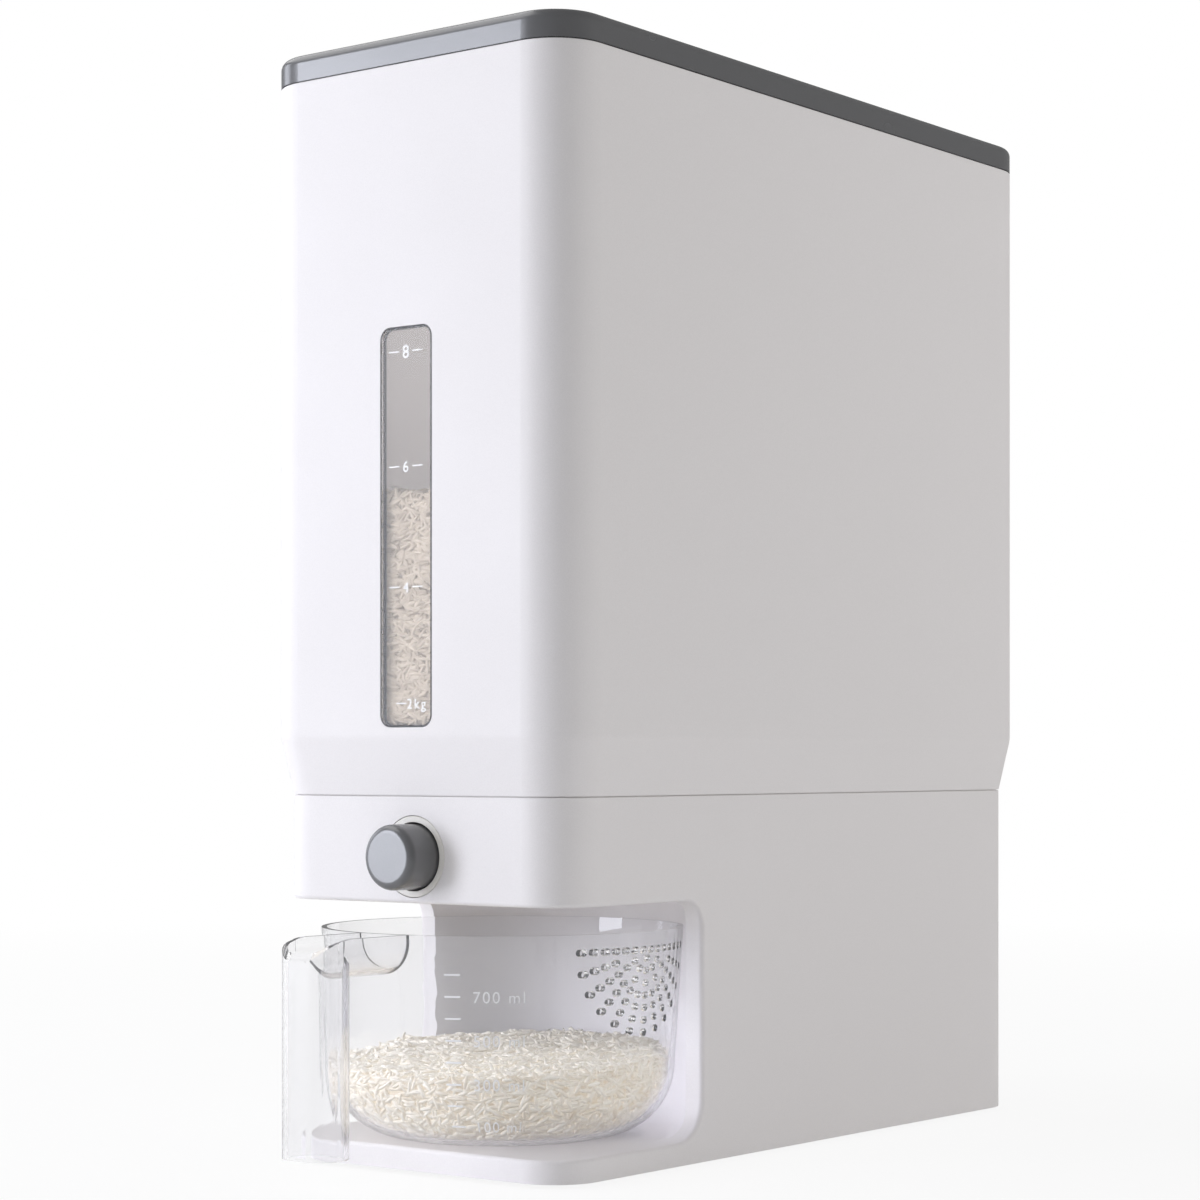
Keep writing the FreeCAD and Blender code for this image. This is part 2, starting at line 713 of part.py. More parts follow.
def build_gate_plate():
    """Sliding gate: its window stands ahead of the outlet until the button is pressed."""
    plate = block(-gate_half_width, gate_half_width, gate_front, gate_back, gate_low, gate_high)
    upright = [e for e in plate.Edges if e.BoundBox.ZLength > gate_thickness / 2]
    plate = plate.makeFillet(1.0, upright)
    window = rounded_prism(
        outlet_width, outlet_length, outlet_corner, bay_y - press_travel, gate_low - 1, gate_high + 1
    )
    socket = rod(stem_radius, V(0, gate_front - 1, button_height), BACK, stem_end_in_gate() - gate_front + 1)
    return plate.cut(window.fuse(socket))


# ---- button -------------------------------------------------------------------------------------------
def stem_end_in_gate():
    """How far back the stem reaches into the gate."""
    window_front = bay_y - press_travel - outlet_length / 2
    return min(gate_front + stem_in_gate, window_front - 1.0)


def build_button_cap():
    """Hollow cap with a rounded face and an inner boss for the stem."""
    cap = rod(cap_radius, V(0, cap_front, button_height), BACK, cap_back - cap_front)
    face_edge = [e for e in cap.Edges if e.BoundBox.YMax < cap_front + 1e-4]
    cap = cap.makeFillet(cap_round, face_edge)
    hollow = rod(
        cap_radius - cap_wall, V(0, cap_front + cap_wall, button_height), BACK, cap_back - cap_front
    )
    inner_edge = [e for e in hollow.Edges if e.BoundBox.YMax < cap_front + cap_wall + 1e-4]
    hollow = hollow.makeFillet(cap_round - cap_wall, inner_edge)
    cap = cap.cut(hollow)
    boss = rod(cap_boss_radius, V(0, cap_front + cap_wall / 2, button_height), BACK, cap_boss_length)
    socket = rod(
        stem_radius, V(0, cap_front + cap_wall + cap_floor_gap, button_height), BACK, cap_boss_length + 1
    )
    return cap.fuse(boss).cut(socket)


def build_button_stem():
    """Straight rod from the cap's boss to the gate."""
    start = cap_front + cap_wall + cap_floor_gap
    return rod(stem_radius, V(0, start, button_height), BACK, stem_end_in_gate() - start)


def build_button_bezel():
    """Ring that lines the button's hole, flush in front, with a flange behind the wall."""
    sleeve_radius = cap_radius + cap_bore_gap + bezel_sleeve_wall
    ring = rod(bezel_radius, V(0, base_front, button_height), BACK, base_wall)
    front_edge = [e for e in ring.Edges if e.BoundBox.YMax < base_front + 1e-4]
    ring = ring.makeFillet(bezel_round, front_edge)
    flange_start = base_front + base_wall
    flange = rod(
        bezel_radius + bezel_flange, V(0, flange_start, button_height), BACK, bezel_flange_thickness
    )
    flange_low = ceiling_top + flange_gap
    flange_high = base_top - ledge_thickness - flange_gap
    flange = flange.common(block(-big, big, -big, big, flange_low, flange_high))
    sleeve = rod(sleeve_radius, V(0, base_front + base_wall / 2, button_height), BACK, bezel_length)
    bore = rod(cap_radius + cap_bore_gap, V(0, base_front - 1, button_height), BACK, bezel_length + 10)
    return fuse(ring, flange, sleeve).cut(bore)


def build_return_spring():
    """Coil round the stem, from the cap's inner face to the front wall of the gate's housing."""
    start = cap_front + cap_wall + spring_wire + 0.1
    length = housing_front - spring_wire - 0.1 - start
    helix = Part.makeHelix(length / spring_turns, length, spring_radius)
    wire_circle = Part.Circle(V(spring_radius, 0, 0), BACK, spring_wire)
    profile = Part.Wire(wire_circle.toShape())
    coil = Part.Wire(helix.Edges).makePipeShell([profile], True, True)
    coil.rotate(V(0, 0, 0), RIGHT, -90)
    coil.translate(V(0, start, button_height))
    return coil


# ---- lid ----------------------------------------------------------------------------------------------
def lid_prism(inset, z_low, z_high):
    """Upright prism with the hopper's outline, moved inwards by inset."""
    return rounded_prism(
        hopper_width - 2 * inset, hopper_depth - 2 * inset, hopper_corner - inset, body_y, z_low, z_high
    )


def build_lid_cover():
    """Shallow cap that stands on the hopper's rim, flush with its walls."""
    outer = lid_prism(0, hopper_top, total_height)
    outer = outer.makeFillet(lid_edge_round, level_edges(outer, total_height))
    outer = outer.cut(seam_cutter(lid_prism(seam_depth, hopper_top - 1, hopper_top + 1), hopper_top))
    return outer.cut(lid_prism(hopper_wall, hopper_top - 1, total_height - lid_plate))


def build_lid_liner():
    """Tray under the lid that plugs the hopper's mouth and carries the seal in a groove."""
    low = hopper_top - liner_depth
    high = total_height - lid_plate
    inset = hopper_wall + liner_gap
    tray = lid_prism(inset, low, high).cut(lid_prism(inset + liner_wall, low + liner_wall, high + 1))
    groove = lid_prism(0, low + seal_low, low + seal_low + seal_height)
    groove = groove.cut(lid_prism(inset + seal_groove, low, high))
    return tray.cut(groove)


def build_lid_seal():
    """Soft ring in the liner's groove, with a lip that closes the gap to the hopper's wall."""
    low = hopper_top - liner_depth + seal_low
    outer = lid_prism(hopper_wall + seal_gap, low, low + seal_height)
    outer = outer.makeFillet(seal_height / 3, level_edges(outer, low) + level_edges(outer, low + seal_height))
    inner = lid_prism(hopper_wall + liner_gap + seal_groove, low - 1, low + seal_height + 1)
    return outer.cut(inner)


# ---- measuring cup ------------------------------------------------------------------------------------
def bowl_solid(inset):
    """Bowl form moved inwards by inset: a turned profile, stretched along Y to its oval plan."""
    tangent = math.tan(math.radians(bowl_draft))
    cosine = math.cos(math.radians(bowl_draft))
    sine = math.sin(math.radians(bowl_draft))
    bottom = cup_bottom + inset
    top = bowl_rim if inset == 0 else bowl_rim + 1
    corner = bowl_corner - inset

    def wall(z):
        return bowl_half_width - inset / cosine - (bowl_rim - z) * tangent

    centre_z = bottom + corner
    centre_r = wall(centre_z) - corner / cosine
    half_turn = math.radians(90 + bowl_draft) / 2
    join = V(centre_r + corner * cosine, 0, centre_z - corner * sine)
    middle = V(centre_r + corner * math.sin(half_turn), 0, centre_z - corner * math.cos(half_turn))
    points = [V(0, 0, bottom), V(centre_r, 0, bottom), join, V(wall(top), 0, top), V(0, 0, top)]
    edges = [
        Part.LineSegment(points[0], points[1]).toShape(),
        Part.Arc(points[1], middle, join).toShape(),
        Part.LineSegment(join, points[3]).toShape(),
        Part.LineSegment(points[3], points[4]).toShape(),
        Part.LineSegment(points[4], points[0]).toShape(),
    ]
    turned = Part.Face(Part.Wire(edges)).revolve(V(0, 0, 0), UP, 360)
    stretch = FreeCAD.Matrix()
    stretch.A22 = bowl_half_depth / bowl_half_width
    oval = turned.transformGeometry(stretch)
    oval.translate(V(0, bowl_y, 0))
    return oval


def trough_form(inset, y_low, y_high, top):
    """U-shaped bridge between bowl and handle, as a prism along Y."""
    half = handle_half_width + 0.5 - inset
    low = bowl_rim - trough_depth + inset
    side_low = low + half
    edges = [
        Part.LineSegment(V(-half, y_low, top), V(-half, y_low, side_low)).toShape(),
        Part.Arc(V(-half, y_low, side_low), V(0, y_low, low), V(half, y_low, side_low)).toShape(),
        Part.LineSegment(V(half, y_low, side_low), V(half, y_low, top)).toShape(),
        Part.LineSegment(V(half, y_low, top), V(-half, y_low, top)).toShape(),
    ]
    return Part.Face(Part.Wire(edges)).extrude(V(0, y_high - y_low, 0))


def handle_form(inset, z_low, z_high):
    """Upright hollow grip as a rounded prism."""
    return rounded_prism(
        2 * (handle_half_width - inset),
        handle_depth - 2 * inset,
        handle_corner - inset,
        (handle_front + handle_back) / 2,
        z_low,
        z_high,
    )


def above_rim():
    """Space over the cup's top edge, which dips in a soft curve to the grip's front."""
    points = []
    for along, down in rise_curve:
        points.append(V(0, handle_front + handle_rise * along, bowl_rim - handle_drop * down))
    curve = Part.BSplineCurve()
    curve.interpolate(points)
    high = bowl_rim + 20.0
    end = V(0, bowl_front + 12, bowl_rim)
    edges = [
        curve.toShape(),
        Part.LineSegment(points[-1], end).toShape(),
        Part.LineSegment(end, V(0, end.y, high)).toShape(),
        Part.LineSegment(V(0, end.y, high), V(0, points[0].y, high)).toShape(),
        Part.LineSegment(V(0, points[0].y, high), points[0]).toShape(),
    ]
    face = Part.Face(Part.Wire(edges))
    face.translate(V(-3 * handle_half_width, 0, 0))
    return face.extrude(V(6 * handle_half_width, 0, 0))


def strainer_holes():
    """Drills along X for the half sunburst of small holes in the bowl's right side, under the rim."""
    middle_y = bowl_y + strainer_shift
    middle_z = bowl_rim - strainer_drop
    upright = 90.0
    spots = []
    for i in range(strainer_row):
        spots.append((strainer_reach * (1 - 2 * i / (strainer_row - 1)), 0.0))
    for k in range(1, round(2 * upright / strainer_turn)):
        turn = strainer_turn * k
        count = strainer_short if k % 2 else strainer_long
        if turn == upright:
            count = strainer_long + 1
        for i in range(count):
            radius = strainer_reach - strainer_step * i
            spots.append((radius * math.cos(math.radians(turn)), radius * math.sin(math.radians(turn))))
    start = bowl_half_width / 2
    return [
        rod(strainer_hole, V(start, middle_y + back, middle_z - down), RIGHT, bowl_half_width)
        for back, down in spots
    ]


def build_measuring_cup():
    """Clear cup in one moulding: oval bowl, bridge, hollow grip and strainer holes."""
    grip = handle_form(0, handle_foot, bowl_rim)
    bridge_end = bowl_y - bowl_half_depth * 0.8
    bridge = trough_form(0, handle_back - handle_corner, bridge_end, bowl_rim)
    outer = grip.fuse(bridge).fuse(bowl_solid(0))
    bowl_space = bowl_solid(cup_wall)
    grip_space = handle_form(cup_wall, handle_foot - 1, bowl_rim + 1)
    bridge_space = trough_form(
        cup_wall, (handle_front + handle_back) / 2, bowl_front + 1.0, bowl_rim + 1
    ).cut(bowl_solid(0))
    cup = outer.cut(bowl_space).cut(grip_space.fuse(bridge_space))
    cup = cup.cut(above_rim())
    drills = strainer_holes()
    return cup.cut(drills[0].multiFuse(drills[1:]))


# ---- all the pieces -----------------------------------------------------------------------------------
pieces = {
    "base_housing": build_base_housing,
    "bottom_plate": build_bottom_plate,
    "bottom_plate_screws": build_bottom_plate_screws,
    "hopper_shell": build_hopper_shell,
    "hopper_screws": build_hopper_screws,
    "hopper_funnel": build_hopper_funnel,
    "outlet_seal": build_outlet_seal,
    "sight_window": build_sight_window,
    "gate_housing": build_gate_housing,
    "gate_housing_cover": build_housing_cover,
    "gate_housing_screws": build_housing_screws,
    "gate_plate": build_gate_plate,
    "button_cap": build_button_cap,
    "button_stem": build_button_stem,
    "button_bezel": build_button_bezel,
    "return_spring": build_return_spring,
    "lid_cover": build_lid_cover,
    "lid_liner": build_lid_liner,
    "lid_seal": build_lid_seal,
    "measuring_cup": build_measuring_cup,
}
for name, build in pieces.items():
    save(build(), name)
for name, (x, y) in foot_places().items():
    save(build_foot(x, y), name)
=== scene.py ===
"""Rice dispenser: finishes, printed scales, rice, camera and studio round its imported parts.

Lengths are in metres. X is to the right seen from the front, Y to the back, and Z up from the ground.
"""
import math

import bpy
import numpy as np
from bpy.props import FloatProperty, FloatVectorProperty, IntProperty, PointerProperty
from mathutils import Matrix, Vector
from mathutils.bvhtree import BVHTree


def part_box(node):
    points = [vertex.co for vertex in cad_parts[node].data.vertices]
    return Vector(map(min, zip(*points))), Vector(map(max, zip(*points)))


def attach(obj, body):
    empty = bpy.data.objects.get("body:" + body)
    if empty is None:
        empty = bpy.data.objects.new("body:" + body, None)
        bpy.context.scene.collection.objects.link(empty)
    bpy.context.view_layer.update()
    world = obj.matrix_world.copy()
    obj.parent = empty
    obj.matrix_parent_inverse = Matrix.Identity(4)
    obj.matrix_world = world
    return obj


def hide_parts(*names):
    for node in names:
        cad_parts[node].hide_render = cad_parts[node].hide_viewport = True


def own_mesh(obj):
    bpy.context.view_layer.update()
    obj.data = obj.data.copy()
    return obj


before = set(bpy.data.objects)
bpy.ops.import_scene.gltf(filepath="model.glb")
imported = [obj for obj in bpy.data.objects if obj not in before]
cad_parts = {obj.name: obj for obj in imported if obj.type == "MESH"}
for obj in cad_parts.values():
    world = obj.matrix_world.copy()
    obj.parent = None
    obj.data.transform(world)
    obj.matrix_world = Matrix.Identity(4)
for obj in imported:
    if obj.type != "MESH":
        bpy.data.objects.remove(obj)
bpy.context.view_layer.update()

bl_info = {
    "name": "Rice Dispenser",
    "version": (1, 0, 0),
    "blender": (4, 5, 0),
    "location": "View3D > Sidebar > Dispenser",
    "description": "Finishes, scales, rice and studio for a rice dispenser with a measuring cup",
    "category": "Object",
}

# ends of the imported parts' boxes
WINDOW_LOW, WINDOW_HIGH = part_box("sight_window")
_, CUP_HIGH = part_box("measuring_cup")
SHELL_LOW, SHELL_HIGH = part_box("hopper_shell")
FUNNEL_LOW, FUNNEL_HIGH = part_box("hopper_funnel")
SPRING_LOW, SPRING_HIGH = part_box("return_spring")

# shapes inside those boxes
BOWL_HALF_DEPTH = 0.0702
WINDOW_FLANGE = 0.002
WINDOW_CORNER = 0.0045
SPRING_TURNS = 9
SPRING_WIRE = 0.00055

# rice: how far the loose grains lie over and under its surface, how far the surface leans, and the tones;
# the beds' darker tone is painted shade in the gaps between the grains
GRAINS_LOW = -0.0016
GRAINS_HIGH = 0.0004
GRAINS_LEAN = 0.16
FLAT_LIFT = 0.18
# the beds' tone, darker than the grains': painted shade in the gaps between the grains
BED_SHADE_TONE = 0.3
STORED_TONE = 0.68
TOP_SHARES = (0.97, 0.9, 0.8, 0.65, 0.5, 0.3, 0.1)

SENSOR_WIDTH = 36.0
FIGURE_HEIGHT = 0.73  # of a figure in the plain font at size 1

WHITE_NODES = ("base_housing", "bottom_plate", "hopper_shell")
CREAM_NODES = ("button_bezel",)
GREY_NODES = ("lid_cover", "button_cap")
INNER_NODES = (
    "hopper_funnel", "gate_housing", "gate_housing_cover", "gate_plate", "button_stem", "lid_liner",
)
SEAL_NODES = ("outlet_seal", "lid_seal")
FOOT_NODES = ("foot_front_left", "foot_front_right", "foot_rear_left", "foot_rear_right")
STEEL_NODES = ("bottom_plate_screws", "hopper_screws", "gate_housing_screws")


# ---- settings -----------------------------------------------------------------------------------------
def colour(name, description, default):
    """A linear colour that the user can change."""
    return FloatVectorProperty(
        name=name, description=description, default=default, size=3, min=0.0, max=1.0, subtype="COLOR"
    )


def length(name, description, default):
    """A length in metres that the user can change."""
    return FloatProperty(name=name, description=description, default=default, min=0.0, precision=5,
                         subtype="DISTANCE", unit="LENGTH")


def share(name, description, default):
    """A number from 0 to 1 that the user can change."""
    return FloatProperty(name=name, description=description, default=default, min=0.0, max=1.0,
                         subtype="FACTOR")


def angle(name, description, degrees):
    """An angle that the user can change."""
    return FloatProperty(name=name, description=description, default=math.radians(degrees), precision=4,
                         subtype="ANGLE", unit="ROTATION")


def number(name, description, default, low, high):
    """A plain number that the user can change."""
    return FloatProperty(name=name, description=description, default=default, min=low, max=high)


def watts(name, description, default):
    """A lamp's power that the user can change."""
    return FloatProperty(name=name, description=description, default=default, min=0.0,
                         subtype="POWER", unit="POWER")


class ShellSettings(bpy.types.PropertyGroup):
    """Matt mouldings of the body."""
    white: colour("White", "Body and bottom plate", (0.875, 0.845, 0.84))
    cream: colour("Cream", "Ring round the button", (0.87, 0.845, 0.79))
    inner: colour("Inner", "Natural plastic of the hidden parts", (0.80, 0.80, 0.79))
    roughness: share("Roughness", "Roughness of the matt mouldings", 0.52)
    grain_width: length("Grain width", "Width of one speck of the matt grain", 0.00045)
    grain_depth: length("Grain depth", "Depth of the matt grain", 0.00002)


class TrimSettings(bpy.types.PropertyGroup):
    """Grey mouldings: the lid and the button."""
    grey: colour("Grey", "Lid and button", (0.125, 0.125, 0.129))
    roughness: share("Roughness", "Roughness of the satin grey mouldings", 0.26)
    sheen: share("Sheen", "Strength of the reflections in the grey mouldings", 1.0)
    rubber: colour("Rubber", "Feet", (0.045, 0.045, 0.047))
    seal: colour("Seal", "Soft seals", (0.72, 0.72, 0.70))
    steel: colour("Steel", "Screws and spring", (0.62, 0.61, 0.60))


class ClearSettings(bpy.types.PropertyGroup):
    """Clear mouldings: the cup and the sight window."""
    cup_tint: colour("Cup tint", "Clear plastic of the cup", (0.962, 0.960, 0.966))
    cup_haze: share("Cup haze", "Milkiness of the cup", 0.04)
    cup_index: number("Cup index", "Refractive index of the cup", 1.48, 1.0, 2.0)
    window_tint: colour("Window tint", "Clear plastic of the sight window", (0.88, 0.86, 0.85))
    window_haze: share("Window haze", "Milkiness of the sight window", 0.05)
    window_index: number("Window index", "Refractive index of the sight window", 1.30, 1.0, 2.0)
    rim: length("Rim", "Width of the dark rim of the sight window", 0.0009)
    rim_tint: colour("Rim tint", "Dark rim of the sight window", (0.02, 0.02, 0.022))
    roughness: share("Roughness", "Roughness of the polished faces", 0.01)


class PrintSettings(bpy.types.PropertyGroup):
    """Printed scales on the window and the cup."""
    ink: colour("Ink", "White printing ink", (0.97, 0.97, 0.97))
    thickness: length("Thickness", "Thickness of the ink", 0.00005)
    dash: length("Dash", "Length of a dash on the window", 0.0050)
    dash_height: length("Dash height", "Height of the dashes on the window", 0.0005)
    figure_spacing: number("Figure spacing", "Spacing of the window's letters, 1 is plain", 1.32, 0.5, 3.0)
    figure_weight: number("Figure weight", "Extra stroke of the window's figures", 0.010, 0.0, 0.1)
    tick: length("Tick", "Length of a tick on the cup", 0.0060)
    tick_height: length("Tick height", "Height of the ticks on the cup", 0.0007)
    label_height: length("Label height", "Height of the cup's figures", 0.0044)
    label_spacing: number("Label spacing", "Spacing of the cup's letters, 1 is plain", 1.2, 0.5, 3.0)
    tick_turn: angle("Tick turn", "Middle of the ticks, turned right from the cup's front", 23.87)
    label_turn: angle("Label turn", "Middle of the labels, turned right from the cup's front", 38.25)
    lowest_mark: length("Lowest mark", "Height of the 100 ml tick above the ground", 0.0201)
    mark_step: length("Mark step", "Height from one 100 ml tick to the next", 0.0080)


class RiceSettings(bpy.types.PropertyGroup):
    """Long-grain rice in the hopper and the cup."""
    grain_length: length("Grain length", "Length of a usual grain", 0.0058)
    grain_width: length("Grain width", "Width of a usual grain", 0.0016)
    hopper_level: length("Hopper level", "Height of the rice behind the window", 0.2530)
    cup_level_near: length("Cup level, front", "Height of the rice at the front of the cup", 0.0370)
    cup_level_far: length("Cup level, back", "Height of the rice at the back of the cup", 0.0435)
    mound: length("Mound", "How much higher the rice is at the middle of the cup", 0.0030)
    pale: colour("Pale", "Palest grains", (0.93, 0.89, 0.80))
    # the darkest grains' colour also gives the warm painted shade of the grains at the cup's wall
    dark: colour("Dark", "Darkest grains", (0.74, 0.64, 0.49))
    # the stored rice's colours are the cup rice's colours darkened: painted shade of the rice inside the
    # hopper
    shaded_stored_pale: colour("Stored, pale", "Palest grains behind the window", (0.72, 0.645, 0.53))
    shaded_stored_dark: colour("Stored, dark", "Darkest grains behind the window", (0.34, 0.275, 0.20))
    seed: IntProperty(name="Seed", description="Seed of the grains' places", default=41)


class StudioSettings(bpy.types.PropertyGroup):
    """Light, floor and camera."""
    surround: number("Surround", "Brightness of the even light", 0.27, 0.0, 10.0)
    key_power: watts("Key", "Power of the lamp at the front left", 12.5)
    front_power: watts("Front", "Power of the lamp in front", 1.9)
    left_power: watts("Left", "Power of the lamp at the left", 3.2)
    side_power: watts("Side", "Power of the lamp at the right", 10.5)
    top_power: watts("Top", "Power of the lamp overhead", 9.0)
    glow_power: watts("Glow", "Power of the light that comes through the hopper's walls", 0.082)
    cool: colour("Cool", "Colour of the lamps at the front and left", (0.87, 0.90, 1.0))
    floor: colour("Floor", "Colour of the floor and backdrop", (0.90, 0.90, 0.90))
    floor_glow: share("Floor glow", "Share of plain white in what is seen of the floor by the part", 0.90)
    floor_fade: length("Floor fade", "Distance at which the floor is plain white", 1.6)
    azimuth: angle("Azimuth", "Turn of the camera to the right, from the front", 37.56)
    lens: FloatProperty(name="Lens", description="Focal length of the camera", default=88.08, min=1.0,
                        subtype="DISTANCE_CAMERA")
    shift: number("Shift", "Rise of the camera's frame, as a share of its width", 0.1304, -2.0, 2.0)
    eye: FloatVectorProperty(name="Eye", description="Place of the camera", size=3,
                             default=(0.7177, -0.9517, 0.1551), subtype="TRANSLATION", unit="LENGTH")


class DispenserSettings(bpy.types.PropertyGroup):
    """All the settings of the dispenser."""
    shell: PointerProperty(type=ShellSettings)
    trim: PointerProperty(type=TrimSettings)
    clear: PointerProperty(type=ClearSettings)
    marks: PointerProperty(type=PrintSettings)
    rice: PointerProperty(type=RiceSettings)
    studio: PointerProperty(type=StudioSettings)


# ---- finishes -----------------------------------------------------------------------------------------
def new_finish(name):
    """A new material and its main shader."""
    finish = bpy.data.materials.new(name)
    finish.use_nodes = True
    return finish, finish.node_tree.nodes["Principled BSDF"]


def opaque(rgb):
    """A colour with its alpha."""
    return (rgb[0], rgb[1], rgb[2], 1.0)


def shaded(rgb, factor):
    """A colour made lighter or darker."""
    return [min(1.0, part * factor) for part in rgb]


def noise(finish, width, detail):
    """Noise that is fixed to the part, in spots about as wide as said."""
    nodes = finish.node_tree.nodes
    place = nodes.new("ShaderNodeTexCoord")
    pattern = nodes.new("ShaderNodeTexNoise")
    pattern.inputs["Scale"].default_value = 1.0 / width
    pattern.inputs["Detail"].default_value = detail
    finish.node_tree.links.new(place.outputs["Object"], pattern.inputs["Vector"])
    return pattern.outputs["Fac"]


def spread(finish, source, low, high, from_low=0.3, from_high=0.7):
    """A pattern's value, stretched to run from low to high."""
    reach = finish.node_tree.nodes.new("ShaderNodeMapRange")
    reach.inputs["From Min"].default_value = from_low
    reach.inputs["From Max"].default_value = from_high
    reach.inputs["To Min"].default_value = low
    reach.inputs["To Max"].default_value = high
    finish.node_tree.links.new(source, reach.inputs["Value"])
    return reach.outputs["Result"]


def two_tone(finish, factor, first, second):
    """A colour that runs from the first to the second as the factor goes from 0 to 1."""
    mix = finish.node_tree.nodes.new("ShaderNodeMix")
    mix.data_type = "RGBA"
    colours = [socket for socket in mix.inputs if socket.type == "RGBA"]
    colours[0].default_value = opaque(first)
    colours[1].default_value = opaque(second)
    finish.node_tree.links.new(factor, mix.inputs["Factor"])
    return [socket for socket in mix.outputs if socket.type == "RGBA"][0]


def raise_surface(finish, shader, height, depth):
    """Bumps on the shader from a height that runs from 0 to 1."""
    bump = finish.node_tree.nodes.new("ShaderNodeBump")
    bump.inputs["Distance"].default_value = depth
    finish.node_tree.links.new(height, bump.inputs["Height"])
    finish.node_tree.links.new(bump.outputs["Normal"], shader.inputs["Normal"])


def speckled(finish, shader, rgb, darkest, palest, width, detail):
    """Fine specks in the shader's colour, from a darker to a paler shade of it. Gives the specks."""
    specks = noise(finish, width, detail)
    tone = two_tone(finish, spread(finish, specks, 0.0, 1.0), shaded(rgb, darkest), shaded(rgb, palest))
    finish.node_tree.links.new(tone, shader.inputs["Base Color"])
    return specks


def uneven_roughness(finish, shader, pattern, low, high):
    """Roughness that follows a pattern."""
    finish.node_tree.links.new(spread(finish, pattern, low, high), shader.inputs["Roughness"])


def matt_moulding(name, rgb, roughness, grain_width, grain_depth, reflection=0.5):
    """Injection-moulded plastic with a fine matt grain and faint flow marks."""
    flow_width = 0.05
    unevenness = 0.03
    finish, shader = new_finish(name)
    shader.inputs["Specular IOR Level"].default_value = reflection
    specks = speckled(finish, shader, rgb, 0.975, 1.02, grain_width, 3.0)
    flow = noise(finish, flow_width, 1.0)
    uneven_roughness(finish, shader, flow, roughness - unevenness, roughness + unevenness)
    raise_surface(finish, shader, specks, grain_depth)
    return finish


def rim_distance(finish, middle, half_width, half_height, corner):
    """Distance inwards from an upright round-cornered outline on X and Z, below 0 outside it."""
    nodes = finish.node_tree.nodes
    links = finish.node_tree.links

    def step(operation, first, second=None):
        node = nodes.new("ShaderNodeVectorMath")
        node.operation = operation
        links.new(first, node.inputs[0])
        if second is not None:
            node.inputs[1].default_value = second
        return node.outputs["Value" if operation == "LENGTH" else "Vector"]

    place = nodes.new("ShaderNodeTexCoord")
    flat = step("MULTIPLY", step("SUBTRACT", place.outputs["Object"], middle), (1.0, 0.0, 1.0))
    inner = (half_width - corner, 0.0, half_height - corner)
    beyond = step("MAXIMUM", step("SUBTRACT", step("ABSOLUTE", flat), inner), (0.0, 0.0, 0.0))
    left_over = nodes.new("ShaderNodeMath")
    left_over.operation = "SUBTRACT"
    left_over.inputs[0].default_value = corner
    links.new(step("LENGTH", beyond), left_over.inputs[1])
    return left_over.outputs["Value"]


def clear_moulding(name, tint, haze, roughness, index):
    """Polished clear plastic, a little milky, that lets the lamps through to what stands behind it."""
    flow_width = 0.018
    finish, shader = new_finish(name)
    tree = finish.node_tree
    shader.inputs["Base Color"].default_value = opaque(tint)
    shader.inputs["Transmission Weight"].default_value = 1.0 - haze
    shader.inputs["IOR"].default_value = index
    uneven_roughness(finish, shader, noise(finish, flow_width, 1.0), roughness * 0.5, roughness * 1.5)
    see_through = tree.nodes.new("ShaderNodeBsdfTransparent")
    see_through.inputs["Color"].default_value = opaque(tint)
    shadow = tree.nodes.new("ShaderNodeLightPath").outputs["Is Shadow Ray"]
    choose_shader(tree, shadow, shader.outputs["BSDF"], see_through.outputs["BSDF"], "Material Output")
    return finish


def soft_rubber(name, rgb):
    """Matt rubber with a little dust in its grain."""
    grain_width = 0.0006
    grain_depth = 0.00003
    finish, shader = new_finish(name)
    specks = speckled(finish, shader, rgb, 0.85, 1.2, grain_width, 3.0)
    shader.inputs["Roughness"].default_value = 0.78
    raise_surface(finish, shader, specks, grain_depth)
    return finish


def bright_steel(name, rgb):
    """Drawn steel wire and turned screw heads."""
    scratch_width = 0.0004
    finish, shader = new_finish(name)
    scratches = speckled(finish, shader, rgb, 0.85, 1.1, scratch_width, 4.0)
    uneven_roughness(finish, shader, scratches, 0.22, 0.4)
    shader.inputs["Metallic"].default_value = 1.0
    return finish


def printing_ink(name, rgb):
    """Screen-printed ink, slightly uneven."""
    patch_width = 0.0005
    patch_depth = 0.00001
    finish, shader = new_finish(name)
    cover = speckled(finish, shader, rgb, 0.96, 1.0, patch_width, 2.0)
    shader.inputs["Roughness"].default_value = 0.45
    raise_surface(finish, shader, cover, patch_depth)
    return finish


def rice_skin(name, dark, pale):
    """Milled rice: each grain has its own tone, with a chalky mottle. The tones also carry painted shade
    where a piece's tone is set darker.
    """
    mottle_width = 0.0012
    mottle_reach = 0.18
    finish, shader = new_finish(name)
    nodes = finish.node_tree.nodes
    links = finish.node_tree.links
    own = nodes.new("ShaderNodeAttribute")
    own.attribute_name = "grain_tone_and_shade"
    mottle = spread(finish, noise(finish, mottle_width, 2.0), -mottle_reach, mottle_reach)
    total = nodes.new("ShaderNodeMath")
    total.operation = "ADD"
    total.use_clamp = True
    links.new(own.outputs["Fac"], total.inputs[0])
    links.new(mottle, total.inputs[1])
    links.new(two_tone(finish, total.outputs["Value"], dark, pale), shader.inputs["Base Color"])
    shader.inputs["Roughness"].default_value = 0.55
    return finish


def choose_shader(tree, factor, first, second, output):
    """Show the first shader where the factor is 0, and the second where it is 1."""
    choose = tree.nodes.new("ShaderNodeMixShader")
    tree.links.new(factor, choose.inputs["Fac"])
    tree.links.new(first, choose.inputs[1])
    tree.links.new(second, choose.inputs[2])
    tree.links.new(choose.outputs["Shader"], tree.nodes[output].inputs["Surface"])


